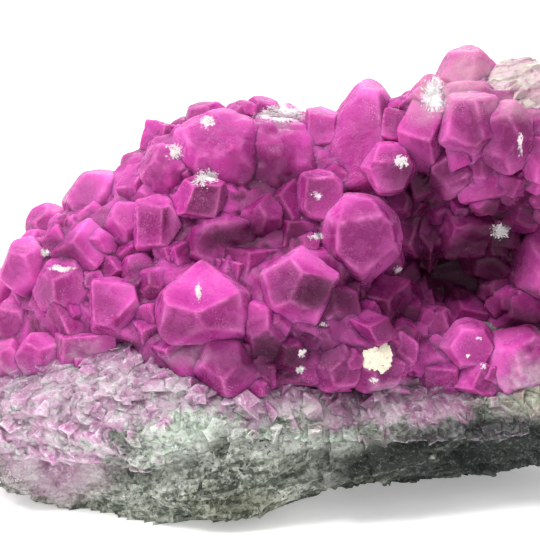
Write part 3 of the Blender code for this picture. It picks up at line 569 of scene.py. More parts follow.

# Shades of the front's regions, each a list of (across, up, half width, half height, strength). "light" is
# painted light where the light falls, and "deep" is painted shade in the pocket and the recesses.
DRUSE_SHADES = {
    "light": [(-35, 8, 9, 9, 0.9), (-27, 12, 8, 7, 1), (-17, 22, 6, 6, 0.8), (-5, 25, 9, 3, 0.8),
              (8, 22, 4, 5, 0.8), (16, 29, 6, 3, 0.9), (8, 12, 4.5, 5, 0.6), (20, 17, 5, 4, 0.4),
              (-40, -3, 5, 8, 0.7), (-38, -15, 6, 4, 0.8), (-24, -6, 5, 5, 0.4), (45, 1, 4, 6, 0.6),
              (32, -12, 5, 4, 0.5), (-11, -2, 6, 2.5, 0.6), (4, 2, 4, 2, 0.6), (40, -16, 6, 4, 0.2),
              (14, 9, 4, 3, 0.3), (32, 31, 6, 5, 0.6), (24, -13, 4, 4, 0.4)],
    "violet": [(0, -14, 12, 6, 0.9), (11, -10, 8, 7, 0.9), (18, 8, 7, 6, 0.4), (-21, 1, 6, 3, 0.7),
               (-29, -4, 5, 5, 0.6), (24, -15, 10, 6, 0.6), (28, 16, 4, 4, 0.5), (-18, -13, 5, 3, 0.8)],
    "deep": [(0, 15, 7, 7, 0.7), (-6, 5, 9, 4, 0.9), (29, -1, 13, 6.5, 1), (29, -1, 5, 4, 1),
             (24, 12, 6, 9, 0.9), (37, 6, 11, 7, 0.9), (40, -8, 8, 4, 0.8), (-33, 3, 4, 3, 0.5),
             (12, -4, 9, 4, 0.7), (40, 17, 12, 8, 0.3), (3, -14, 8, 4, 0.5), (21, -8, 4, 4, 0.6),
             (4, 7, 4, 3, 0.6), (-13, -9, 6, 2, 0.4), (-3, -13, 10, 6, 0.45), (15, -12, 12, 6, 0.3),
             (-20, -2, 5, 3, 0.4), (34, 21, 8, 6, 0.25), (4, -4, 5, 4, 0.25)],
    "salmon": [(31.7, 32, 5, 5, 1), (26, 28, 4, 4.5, 0.9), (38, 26, 6, 3, 0.6)],
    "frosted": [(41.5, -18, 5, 4.5, 0.9), (19.5, -19.5, 4, 2, 0.8), (-30, -12.5, 5, 2.5, 0.5),
                (-12.5, -13.5, 4, 2, 0.6), (-40, -16, 5, 2.5, 0.4)],
    "ripple": [(13, 17, 7, 8, 1)],
}

ROCK_SHADES = {
    # Dark: the rock's black patches, and painted shade along its right end and under its overhang.
    "dark": [(41, -28.5, 20, 5, 1.8), (20, -32.5, 16, 4, 0.9), (-24, -30, 4, 5, 0.6),
             (-2, -27.5, 4, 1.5, 0.5), (14, -29, 12, 4, 0.35), (34, -26, 20, 7, 0.5)],
    "lilac": [(-35, -28, 10, 9, 1.4), (-20, -24, 6, 4, 0.8)],
    # Olive: darkening along the bottom of the front, painted shade near the ground with an olive tint.
    "olive_and_shade": [(-6, -38, 12, 4, 1), (20, -32, 10, 4, 0.6), (-26, -39, 10, 3, 0.5)],
    "tan": [(42, -20, 8, 6, 1), (46, 25, 6, 3, 0.7)],
    "pale": [(-14, -26, 8, 6, 1.2), (42, 30, 14, 8, 0.8), (8, -28, 14, 2.5, 0.7), (-40, -30, 4, 5, 0.5)],
}

# The front's crystals with the roughest faces: across, up.
ROUGH_PLACES = [(-32, -9), (17, -5), (36.5, 14.4), (-15, 2.5), (-17, 21), (25, 27.5),
                (33.5, -18), (28, -16.5), (40.5, -15), (-16.5, 15.5), (-22, 3), (25.5, 5), (31, 7)]

# The largest crystals whose faces are less even, and those whose painted dark cores and light rims are faint.
UNEVEN = ("peak", "brow_bead", "top_crystal")
FAINT_CORED = ("peak", "broad_crystal", "star_rhomb", "top_crystal")

SPLINTERS_PER_FLAKE = 4     # splinters tried for each flake of a bruise
SPLINTER_WIDTHS = (0.04, 0.17)
CRUMB_SIZES = (0.04, 0.13)
BLOOM_DEPTH = 2.5           # crystals whiten this far behind a bruise, beyond its own half width
# White bruises and dust on the crystals: across, up, half width, half height, flakes.
BRUISES = [
    (-10.4, 14.7, 2.4, 1.7, 24), (-15.2, 18.9, 1.7, 1.5, 14), (-10, 23.8, 1.5, 1.1, 10),
    (2, 24.9, 3.6, 2, 46), (7.4, 12, 0.8, 0.8, 5), (7.4, 5.3, 1.5, 0.7, 6), (21, 17.4, 1.3, 1.1, 14),
    (36.8, 6.2, 2, 1.3, 16), (20.5, 0, 0.9, 0.7, 3), (-11.4, -3.6, 0.6, 1.4, 8), (-36, 2.8, 1.0, 0.8, 5),
    (-33, 0.2, 2.4, 0.6, 8), (26, 27.8, 2, 3.2, 26), (8.3, -8.8, 0.6, 0.5, 3), (5.1, -13.3, 0.8, 0.8, 5),
    (4.8, -16, 0.8, 0.8, 5), (16.6, -17.6, 0.9, 0.7, 5), (33.3, -10.9, 0.6, 0.4, 3),
    (31.7, -13.8, 0.5, 0.4, 2), (34.2, -15.4, 0.6, 0.5, 3), (40, 20, 0.5, 2, 8),
]

# Below this edge the seam's lilac gives way to the colours of the rock.
LILAC_EDGE = [(-60, -32), (-43, -35), (-29, -34), (-23, -25), (-9, -23), (3, -25), (10, -26),
              (27, -24.5), (37, -21.5), (43, -17), (60, -8)]
BEDDING = (math.atan(BED_RISE), (0.35, 0.7, 1.8))   # the turn of the rock's layers and how flat they are


# ---- Noise -------------------------------------------------------------------------------------
def lattice(corners, seed):
    """A number from 0 to 1 for each whole-numbered point."""
    x, y, z = corners.astype(np.int64).T
    mixed = (x * 374761393 + y * 668265263 + z * 1274126177 + seed * 974711) & 0xFFFFFFFF
    mixed = ((mixed ^ (mixed >> 13)) * 1103515245) & 0xFFFFFFFF
    mixed = ((mixed ^ (mixed >> 15)) * 668265263) & 0xFFFFFFFF
    return ((mixed ^ (mixed >> 16)) & 0xFFFF) / 65535


def smooth_noise(points, seed=0):
    """Smooth noise from -1 to 1 with one bump to each unit of length."""
    base = np.floor(points)
    part = points - base
    part = part * part * (3 - 2 * part)
    total = np.zeros(len(points))
    for corner in itertools.product((0, 1), repeat=3):
        weight = np.prod(np.where(corner, part, 1 - part), axis=1)
        total += weight * lattice(base + corner, seed)
    return total * 2 - 1


def facets(points, seed=0):
    """Flat leaning facets, one to each cell of unit size.

    Gives each point's height, its cell's own number and its nearness to the cell's rim.
    """
    base = np.floor(points)
    nearest = np.full(len(points), 9.0)
    second = nearest.copy()
    home = np.zeros_like(points)
    for offset in itertools.product((-1, 0, 1), repeat=3):
        corner = base + offset
        jitter = np.stack([lattice(corner, seed + axis) for axis in (1, 2, 3)], axis=1)
        middle = corner + jitter
        gap = np.linalg.norm(points - middle, axis=1)
        closer = gap < nearest
        second = np.where(closer, nearest, np.minimum(second, gap))
        home[closer] = middle[closer]
        nearest = np.minimum(nearest, gap)
    cell = np.round(home * 64)
    lean = np.stack([lattice(cell, seed + axis) for axis in (4, 5, 6)], axis=1) - 0.5
    height = ((points - home) * lean).sum(axis=1) + lean[:, 0] * 0.5
    return height, lattice(cell, seed + 7), np.clip(1 - (second - nearest) * 4, 0, 1)


# ---- Meshes ------------------------------------------------------------------------------------
def mesh_object(name, points, triangles, marks=None, group=None):
    """An object from points in millimetres, triangles, and named numbers for each point."""
    mesh = bpy.data.meshes.new(name)
    mesh.vertices.add(len(points))
    mesh.vertices.foreach_set("co", (points * MM).astype(np.float32).ravel())
    mesh.loops.add(len(triangles) * 3)
    mesh.loops.foreach_set("vertex_index", triangles.astype(np.int32).ravel())
    mesh.polygons.add(len(triangles))
    mesh.polygons.foreach_set("loop_start", np.arange(0, len(triangles) * 3, 3, dtype=np.int32))
    mesh.update(calc_edges=True)
    write_marks(mesh, marks or {})
    item = bpy.data.objects.new(name, mesh)
    (group or bpy.context.scene.collection).objects.link(item)
    return item


def write_marks(mesh, marks):
    """Writes named numbers for each point, where the mesh has none of that name yet."""
    for mark, values in marks.items():
        if mark not in mesh.attributes:
            layer = mesh.attributes.new(mark, "FLOAT", "POINT")
            layer.data.foreach_set("value", np.asarray(values, dtype=np.float32))


def mesh_arrays(item):
    """Points in millimetres and triangles of an object's mesh."""
    mesh = item.data
    points = np.empty(len(mesh.vertices) * 3, np.float32)
    mesh.vertices.foreach_get("co", points)
    mesh.calc_loop_triangles()
    triangles = np.empty(len(mesh.loop_triangles) * 3, np.int32)
    mesh.loop_triangles.foreach_get("vertices", triangles)
    return points.reshape(-1, 3).astype(float) / MM, triangles.reshape(-1, 3)


def new_group(name):
    group = bpy.data.collections.new(name)
    bpy.context.scene.collection.children.link(group)
    return group


def combine(item, operation, group):
    """Joins the group's objects to an object, or takes them away from it, and removes them."""
    change_mesh(item, "BOOLEAN", operation=operation, solver="MANIFOLD", operand_type="COLLECTION",
                collection=group)
    for other in list(group.objects):
        bpy.data.objects.remove(other, do_unlink=True)
    bpy.data.collections.remove(group)


def join_group(name, group):
    """Joins all the objects of a group into one, under a new name."""
    first = group.objects[0]
    group.objects.unlink(first)
    bpy.context.scene.collection.objects.link(first)
    first.name = name
    combine(first, "UNION", group)
    return first


def change_mesh(item, kind, **values):
    """Applies one modifier."""
    change = item.modifiers.new("change", kind)
    for name, value in values.items():
        setattr(change, name, value)
    depsgraph = bpy.context.evaluated_depsgraph_get()
    mesh = bpy.data.meshes.new_from_object(item.evaluated_get(depsgraph))
    item.modifiers.clear()
    item.data = mesh


def smooth_shaded(item, angle=None):
    mesh = item.data
    mesh.polygons.foreach_set("use_smooth", np.ones(len(mesh.polygons), dtype=bool))
    if angle is not None:
        mesh.set_sharp_from_angle(angle=math.radians(angle))
    mesh.update()


def sphere_net(level):
    shape = bmesh.new()
    bmesh.ops.create_icosphere(shape, subdivisions=level, radius=1)
    directions = np.array([v.co for v in shape.verts])
    triangles = np.array([[v.index for v in f.verts] for f in shape.faces])
    shape.free()
    return directions / np.linalg.norm(directions, axis=1)[:, None], triangles


NETS = {level: sphere_net(level) for level in (2, 3, 4, 5, 6)}


# ---- Crystals, with rounded edges --------------------------------------------------------------
def face_tones(faces, form, rng):
    """How light each face is painted: lighter the more it is turned up, left and to the front, as painted
    light and shade, and partly by chance.
    """
    turned = np.linalg.inv(np.array(form)[:3, :3]).T
    tones = []
    for outward, _ in faces:
        normal = Vector(turned @ np.array(outward)).normalized()
        lit = max(0.5 + 0.5 * normal.dot(PAINTED_LIGHT_FROM), 0)
        tones.append(0.5 * lit ** 1.5 + 0.5 * rng.random())
    return tones


def rounded_crystal(faces, level, sharpness, tones):
    """A crystal of half width 1 with softened edges: points, triangles, nearness to an edge, and face shade,
    the painted light and shade of each face.
    """
    directions, triangles = NETS[level]
    outward = np.array([face[0] for face in faces], dtype=float)
    distance = np.array([face[1] for face in faces])
    outward /= np.linalg.norm(outward, axis=1)[:, None]
    reach = np.clip(directions @ outward.T / distance, 1e-6, None)
    order = np.sort(reach, axis=1)
    edge = np.clip((order[:, -2] / order[:, -1] - 0.75) / 0.25, 0, 1) ** 3
    size = (reach ** sharpness).sum(axis=1) ** (-1 / sharpness)
    share = reach ** 70
    share /= share.sum(axis=1)[:, None]
    shade = share @ np.array(tones)
    return directions * size[:, None], triangles, edge, shade


def place_crystal(name, crystal, level, sharpness, rough, group, rng, core=0.6, tones=None):
    """Makes one crystal object. Rough ones grow as a parquet of small leaning blocks."""
    centre, size, faces, form = crystal
    tones = tones or face_tones(faces, form, rng)
    points, triangles, edge, shade = rounded_crystal(faces, level, sharpness, tones)
    matrix = np.array(Matrix.Translation(centre) @ form)
    points = points @ matrix[:3, :3].T + matrix[:3, 3]
    outward, _ = away(points, centre)
    seed = rng.randrange(1000)
    lift = 0.035 * size * smooth_noise(points / (0.6 * size), seed)
    lift += 0.08 * smooth_noise(points / 1.3, seed) + 0.04 * smooth_noise(points / 0.6, seed + 1)
    block, _, rim = facets(points / (0.38 * size + 0.4), seed)
    lift += rough * size * 0.34 * block
    edge = np.maximum(edge, rough * 0.6 * rim)
    points = points + outward * lift[:, None]
    # Painted shade and painted light: the core mark darkens the side of each crystal turned out towards the
    # front, and the rim mark lightens the sides turned away.
    axis = np.array(((centre - HEART).normalized() - FORWARD).normalized())
    facing = outward @ axis
    marks = {"edge": edge, "tint": np.full(len(points), rng.random()), "shade": shade,
             "core": core * fade(facing - 0.7, 0.46), "rim": core * fade(0.42 - facing, 0.4)}
    return mesh_object(name, points, triangles, marks, group)


def sunk_and_swollen(crystal, outward, by):
    """The same crystal made larger, with its tip kept where it was, so that neighbours run together."""
    centre, size, faces, form = crystal
    return centre - outward * size * (by - 1), size * by, faces, form @ Matrix.Scale(by, 4)


def under_outline(across, up, half_width, half_height, swell):
    """True where a crystal swollen this much stays under the front's upper outline."""
    return all(up + above * half_height * swell
               < edge_height(TOP_EDGE, across + side * half_width * swell) + OUTLINE_SLACK
               for side, above in ((-0.8, 0.5), (0, 1), (0.8, 0.5)))


def twins(crystal, count, rng):
    """Smaller crystals that have grown parallel to a crystal, out of its sides."""
    centre, size, faces, form = crystal
    for _ in range(count):
        share = rng.uniform(0.4, 0.68)
        side = Vector((rng.uniform(-1, 1), -rng.uniform(0, 0.6), rng.uniform(-1, 1))).normalized()
        faces_out = [(outward, distance * rng.uniform(0.92, 1.08)) for outward, distance in faces]
        yield (centre + side * size * (1.05 - share * 0.75), size * share, faces_out,
               form @ Matrix.Scale(share, 4))


def small_crystals(skin, covered, taken):
    """Small crystals all over the crust, wherever the larger ones leave room."""
    rng = random.Random(SMALL_SEED)
    faces = [f for f in skin.faces if all(covered[v.index] > 0.6 for v in f.verts)]
    weights = [f.calc_area() for f in faces]
    added = []
    for face in rng.choices(faces, weights, k=SMALL_COUNT * SMALL_TRIES):
        a, b = sorted((rng.random(), rng.random()))
        corners = [v.co for v in face.verts]
        place = corners[0] * a + corners[1] * (b - a) + corners[2] * (1 - b)
        size = rng.uniform(*SMALL_SIZES)
        turn = turn_to(face.normal + wander(rng, 0.6), rng.uniform(0, math.tau))
        faces_out = crystal_faces(rng.choice(("rhomb", "bead", "rhomb")), rng)
        across, up = (float(value[0]) for value in see(np.array([place])))
        if up + size > edge_height(TOP_EDGE, across) + 0.3 or len(added) == SMALL_COUNT:
            continue
        if any((place - centre).length < LARGE_APART * other for centre, other in taken):
            continue
        if any((place - other[0]).length < SMALL_APART * (size + other[1]) for other in added):
            continue
        added.append((place - face.normal * 0.15 * size, size, faces_out, Matrix.Scale(size, 4) @ turn))
    return added


def place_main(crystals, group, rng):
    """The largest crystals, at their packed size."""
    for number, (name, crystal) in enumerate(zip(MAIN_CRYSTALS, crystals)):
        rough = 0.12 if name in UNEVEN else 0.03
        core = 0.3 if name in FAINT_CORED else 0.85
        # Painted light and shade on each face, some of them given face by face.
        tones = face_tones(crystal[2], crystal[3], rng)
        given = FACE_PAINTED_LIGHT.get(name, ())
        tones[:len(given)] = given
        place_crystal(f"main_{number}", crystal, 6, SHARP, rough, group, rng, core, tones)


def place_front(crystals, group, rng):
    """The other crystals of the front, swollen so that they run together, and their twins."""
    for number, (crystal, reading) in enumerate(zip(crystals, FRONT_CRYSTALS)):
        across, up, half_width, half_height, habit = reading
        if (across, up) in ROUGH_PLACES:
            rough = ROUGH
        else:
            rough = MASS_ROUGH if habit == "mass" else rng.uniform(0.02, 0.16)
        by_patch = math.hypot(across - CREAM_PATCH[0], up - CREAM_PATCH[1]) < BY_PATCH
        by_corner = across > BARE_CORNER[0] - BY_CORNER[0] and up > BARE_CORNER[1] - BY_CORNER[1]
        swell = SWELL_BY_PATCH if by_patch else SWELL_OF_MASS if habit == "mass" else SWELL
        below = under_outline(across, up, half_width, half_height, swell) and not by_corner
        inside = habit == "mass" or below
        swell = swell if inside else SWELL_AT_OUTLINE
        crystal = sunk_and_swollen(crystal, -FORWARD, swell)
        level = 5 if crystal[1] > FINE_FROM["front"] else 4
        style = (SHARPNESS[habit], rough, group, rng, CORE_SHARE[habit])
        place_crystal(f"front_{number}", crystal, level, *style)
        for twin in twins(crystal, 0 if by_patch or not inside else rng.choice((0, 0, 1, 1)), rng):
            level = 4 if twin[1] < FINE_FROM["twin"] else 5
            place_crystal(f"front_{number}_twin", twin, level, *style)


def make_crust(crust):
    """The crust between the crystals, broken into small leaning faces."""
    bmesh.ops.subdivide_edges(crust, edges=crust.edges, cuts=4, use_grid_fill=True)
    bmesh.ops.triangulate(crust, faces=crust.faces)
    points, triangles = skin_arrays(crust)
    outward, _ = away(points, HEART)
    height, cell, rim = facets(points / 3.4, 3)
    fine_height, _, _ = facets(points / 1.4, 13)
    across, up = see(points)
    raised = CRUST_RAISED * (1 - spot(across, up, DARK_HOLE[:2], (14, 9)))
    lift = np.maximum((raised + 3.2 * height + 0.8 * fine_height) * crust_cover(points), -CRUST_LOWERED)
    points = points + outward * lift[:, None]
    # Lighter cell rims on the crust, partly frosted wear and partly painted highlight; no painted core or
    # rim.
    marks = {"edge": rim * 0.4, "tint": cell, "shade": cell, "core": cell * 0, "rim": cell * 0}
    return mesh_object("small_crystals", points, triangles, marks)


def make_druse(skins):
    """The crystals in three pieces, by size, each cut to what lies behind it."""
    rng = random.Random(5)
    crust = skins.shape(skins.crust)
    crust.normal_update()
    crust.verts.index_update()
    tree = BVHTree.FromBMesh(crust)
    main = list(main_crystals(tree))
    front = list(front_crystals(tree))
    sized = [(centre, size) for centre, size, _, _ in main + front]
    fillers = list(filler_crystals(skins, crust, sized))
    small = small_crystals(crust, skins.covered, [(c[0], c[1]) for c in main + front + fillers])

    main_group, front_group, small_group = (new_group(name) for name in ("main", "front", "small"))
    place_main(main, main_group, rng)
    place_front(front, front_group, rng)
    for number, crystal in enumerate(fillers):
        crystal = sunk_and_swollen(crystal, (crystal[0] - HEART).normalized(), SWELL)
        place_crystal(f"filler_{number}", crystal, 4, BLUNT, rng.uniform(0.05, 0.4), front_group, rng)
    for number, crystal in enumerate(small):
        level = 4 if crystal[1] > FINE_FROM["small"] else 3
        place_crystal(f"small_{number}", crystal, level, SHARP, rng.uniform(0, 0.3), small_group, rng)

    crust_item = make_crust(crust)
    crust.free()
    behind = skins.shape(np.maximum(skins.rock, skins.seam) - DRUSE_CUT)
    back_points, back_triangles = skin_arrays(behind)
    behind.free()
    combine(crust_item, "UNION", small_group)
    pieces = [crust_item, join_group("main_crystals", main_group),
              join_group("front_crystals", front_group)]
    for piece in pieces:
        cutter = new_group("cutter")
        mesh_object("behind", back_points, back_triangles, None, cutter)
        combine(piece, "DIFFERENCE", cutter)
        change_mesh(piece, "SMOOTH", iterations=3, factor=0.5)
        change_mesh(piece, "DECIMATE", ratio=KEPT_SHARE)
        mark_druse(piece, skins)
        smooth_shaded(piece)
    return pieces


def mark_druse(piece, skins):
    """Marks how far each point stands out of the crust, and the shades of the front's regions, their painted
    light and painted shade among them.
    """
    points, _ = mesh_arrays(piece)
    directions, reach = away(points, HEART)
    proud = reach - skins_limit(skins, skins.crust, directions)
    across, up = see(points)
    wave = 1.2 * smooth_noise(points / 3, 81)
    a, u = across + wave, up + wave
    marks = {"proud": np.clip(proud / 6, 0, 1)}
    for name, spots in DRUSE_SHADES.items():
        marks[name] = np.clip(shaded(a, u, spots), 0, 1)
        if name != "deep":
            marks[name] = marks[name] * fade(8 - points[:, 1], 12)
    write_marks(piece.data, marks)


# ---- Rock and seam -----------------------------------------------------------------------------
def refine(shape, wanted):
    """Splits the edges of the wanted faces once."""
    edges = {edge for face in shape.faces if wanted(face) for edge in face.edges}
    bmesh.ops.subdivide_edges(shape, edges=list(edges), cuts=1, use_grid_fill=True)
    bmesh.ops.triangulate(shape, faces=[f for f in shape.faces if len(f.verts) > 3])


def along_beds(points):
    """The points turned and squeezed so that what is even in them lies in flat layers on the rock."""
    turn, sizes = BEDDING
    x, y, z = points.T
    return np.stack([(x * math.cos(turn) + z * math.sin(turn)) * sizes[0], y * sizes[1],
                     (z * math.cos(turn) - x * math.sin(turn)) * sizes[2]], axis=1)


def rock_detail(points):
    """Broken grain on the rock, from steps of some millimetres down to grains, in ledges along its layers."""
    beds = along_beds(points)
    big, _, _ = facets(points / 7.5, 21)
    ledges, _, _ = facets(beds / 3.6, 25)
    middle, _, _ = facets(beds / 1.9, 22)
    small, _, rim = facets(points / 1.35, 23)
    fine = smooth_noise(beds / 0.7, 24)
    return 2.0 * big + 1.5 * ledges + 0.9 * middle + 0.6 * small - 0.12 * rim + 0.12 * fine


def skin_arrays(shape):
    points = np.array([v.co for v in shape.verts])
    triangles = np.array([[v.index for v in f.verts] for f in shape.faces])
    return points, triangles


def make_rock(coarse, fine):
    """The rock and the pale seam on it, with their broken grain."""
    shape = fine.shape(fine.rock)
    shape.verts.index_update()
    covered = crust_cover(np.array([v.co for v in shape.verts]))
    refine(shape, lambda face: face.calc_center_median().y < 4 and face.calc_center_median().z > 0.5
           and all(covered[v.index] < 0.9 for v in face.verts if v.index < len(covered)))
    shape.verts.index_update()
    points, triangles = skin_arrays(shape)
    shape.free()
    directions, reach = away(points, HEART)
    covered = crust_cover(points)
    seam = seam_cover(points)
    flat = points[:, 2] < 0.05
    detail = rock_detail(points) - ROCK_LEVEL
    bare = reach + detail * np.where(flat, 0, 1)

    under = skins_limit(coarse, coarse.crust, directions) - UNDER_CRUST
    across, up = see(at_reach(directions, np.minimum(reach, under)))
    under -= LEVEL_DEPTH * spot(across, up, *LEVEL_CRUST)
    bare = np.where(covered > 0.5, np.minimum(bare, under), bare)
    rock_points = at_reach(directions, bare)
    rock_points[:, 2] = np.maximum(rock_points[:, 2], 0)
    rock_points[flat, 2] = 0
    rock = mesh_object("host_rock_grain", rock_points, triangles, rock_marks(rock_points))

    sugar_big, _, _ = facets(points / 3.4, 31)
    sugar, cell, rim = facets(points / 1.5, 32)
    sugar_small, _, _ = facets(points / 0.75, 33)
    soft = 0.6 * smooth_noise(points / 1.9, 34) + 0.3 * smooth_noise(points / 0.8, 35)
    across, up = see(points)
    grown = 0.3 + 0.7 * fade(up - edge_height(SEAM_EDGE, across) - 3, 6)
    proud = (SEAM_THICKNESS + 1.6 * sugar_big + 0.9 * sugar + 0.4 * sugar_small + soft) * grown
    seam_reach = np.where(seam > 0, reach + (proud + BURIED) * seam - BURIED, reach - BURIED)
    seam_reach = np.where(covered > 0.6, np.minimum(seam_reach, under), seam_reach)
    seam_points = at_reach(directions, seam_reach)
    seam_points[:, 2] = np.maximum(seam_points[:, 2], SEAM_LOWEST)
    marks = {"edge": rim, "tint": cell, "shade": cell, "proud": rim * 0 + 0.5}
    seam_item = mesh_object("pale_seam_grain", seam_points, triangles, marks)
    cutter = new_group("cutter")
    mesh_object("behind", at_reach(directions, bare - SEAM_CUT), triangles, None, cutter)
    combine(seam_item, "DIFFERENCE", cutter)
    seam_item.data.validate()
    smooth_shaded(rock, SHARP_ANGLES["rock"])
    smooth_shaded(seam_item, SHARP_ANGLES["seam"])
    return rock, seam_item


def skins_limit(coarse, reach, directions):
    """The reach of a coarse skin along each direction."""
    shape = coarse.shape(reach)
    tree = BVHTree.FromBMesh(shape)
    shape.free()
    return np.array([tree.ray_cast(HEART, Vector(way))[3] for way in directions], dtype=float)


def spot(across, up, centre, sizes):
    """1 in the middle of an oval place on the front, fading to 0 at its rim."""
    gap = np.hypot((across - centre[0]) / sizes[0], (up - centre[1]) / sizes[1])
    return np.clip(1.4 - 1.2 * gap, 0, 1)


def shaded(across, up, spots):
    """The shades of a list of places, each (across, up, half width, half height, strength), together."""
    return sum(share * spot(across, up, (x, y), (width, height)) for x, y, width, height, share in spots)


def rock_marks(points):
    """How dark, lilac, olive, tan and pale the rock is at each point; the dark and olive marks on the front
    also carry painted shade.
    """
    across, up = see(points)
    y = points[:, 1]
    wave = 2.2 * smooth_noise(points / 6, 51) + 1.2 * smooth_noise(points / 2.5, 52)
    a, u = across + wave, up + 1.2 * smooth_noise(points / 4, 53)
    facing = y < 6
    back = 0.5 + 0.5 * smooth_noise(points / 13, 54)
    behind = {"dark": 0.5 * back ** 2, "lilac": 0 * back, "olive_and_shade": 0.6 * (1 - back), "tan": 0.4 * back,
              "pale": 0.6 * back}
    corner = (across > BARE_CORNER[0] - 2) & (up > BARE_CORNER[1] - 3)
    marks = {name: np.clip(np.where(facing, shaded(a, u, spots), behind[name]), 0, 1)
             for name, spots in ROCK_SHADES.items()}
    marks["pale"] = np.where(corner, 0, marks["pale"])
    marks["dark"] = np.where(corner, 0, marks["dark"])
    marks["corner"] = corner * fade(14 - y, 6)
    marks["bedded"] = fade(across + 4 + 3 * wave, 24)
    return marks


# ---- Materials ---------------------------------------------------------------------------------
class Nodes:
    """A short way to write a material's nodes."""

    def __init__(self, name):
        self.material = bpy.data.materials.new(name)
        self.material.use_nodes = True
        self.tree = self.material.node_tree
        self.shader = self.tree.nodes["Principled BSDF"]
        self.place = self.add("ShaderNodeTexCoord").outputs["Object"]

    def add(self, kind, **values):
        node = self.tree.nodes.new(kind)
        for key, value in values.items():
            setattr(node, key, value)
        return node

    def link(self, value, socket):
        if isinstance(value, bpy.types.NodeSocket):
            self.tree.links.new(value, socket)
        else:
            socket.default_value = (*value, 1) if socket.type == "RGBA" else value

    def mark(self, name):
        return self.add("ShaderNodeAttribute", attribute_name=name).outputs["Fac"]

    def math(self, operation, a, b=0.0, clamp=False):
        node = self.add("ShaderNodeMath", operation=operation, use_clamp=clamp)
        self.link(a, node.inputs[0])
        self.link(b, node.inputs[1])
        return node.outputs[0]

    def times(self, a, b):
        return self.math("MULTIPLY", a, b)

    def patches(self, texture, low, high, out_low=0.0, out_high=1.0):
        """Noise, with its middle stretched: texture holds what noise takes."""
        return self.range(self.noise(*texture), low, high, out_low, out_high)

    def mix(self, share, a, b, blend="MIX"):
        node = self.add("ShaderNodeMix", data_type="RGBA", blend_type=blend)
        self.link(share, node.inputs["Factor"])
        self.link(a, node.inputs["A"])
        self.link(b, node.inputs["B"])
        return node.outputs["Result"]

    def noise(self, per_mm, detail=3.0, rough=0.55, warp=0.0, layers=None):
        node = self.add("ShaderNodeTexNoise")
        self.link(self.layered(layers) if layers else self.place, node.inputs["Vector"])
        node.inputs["Scale"].default_value = per_mm * PER_METRE
        node.inputs["Detail"].default_value = detail
        node.inputs["Roughness"].default_value = rough
        node.inputs["Distortion"].default_value = warp
        return node.outputs["Fac"]

    def layered(self, layers):
        """The place turned along layers, given as a turn and how flat the layers are."""
        node = self.add("ShaderNodeMapping", vector_type="TEXTURE")
        self.link(self.place, node.inputs["Vector"])
        node.inputs["Rotation"].default_value = (0, -layers[0], 0)
        node.inputs["Scale"].default_value = [1 / size for size in layers[1]]
        return node.outputs["Vector"]

    def cells(self, per_mm, layers=None):
        node = self.add("ShaderNodeTexVoronoi")
        self.link(self.layered(layers) if layers else self.place, node.inputs["Vector"])
        node.inputs["Scale"].default_value = per_mm * PER_METRE
        return node.outputs["Color"]

    def ramp(self, value, stops, interpolation="LINEAR"):
        node = self.add("ShaderNodeValToRGB")
        node.color_ramp.interpolation = interpolation
        while len(node.color_ramp.elements) < len(stops):
            node.color_ramp.elements.new(0.5)
        for element, (position, colour) in zip(node.color_ramp.elements, stops):
            element.position = position
            element.color = (*colour, 1)
        self.link(value, node.inputs["Fac"])
        return node.outputs["Color"]

    def range(self, value, low, high, out_low=0.0, out_high=1.0):
        node = self.add("ShaderNodeMapRange")
        self.link(value, node.inputs["Value"])
        limits = {"From Min": low, "From Max": high, "To Min": out_low, "To Max": out_high}
        for socket, number in limits.items():
            node.inputs[socket].default_value = number
        return node.outputs["Result"]

    def bump(self, height, distance_mm, strength=1.0, normal=None):
        node = self.add("ShaderNodeBump")
        node.inputs["Distance"].default_value = distance_mm * MM
        node.inputs["Strength"].default_value = strength
        self.link(height, node.inputs["Height"])
        if normal:
            self.link(normal, node.inputs["Normal"])
        return node.outputs["Normal"]

    def finish(self, colour, roughness, normal=None, **sockets):
        self.link(colour, self.shader.inputs["Base Color"])
        self.link(roughness, self.shader.inputs["Roughness"])
        if normal:
            self.link(normal, self.shader.inputs["Normal"])
        for name, value in sockets.items():
            self.link(value, self.shader.inputs[name.replace("_", " ")])
        return self.material


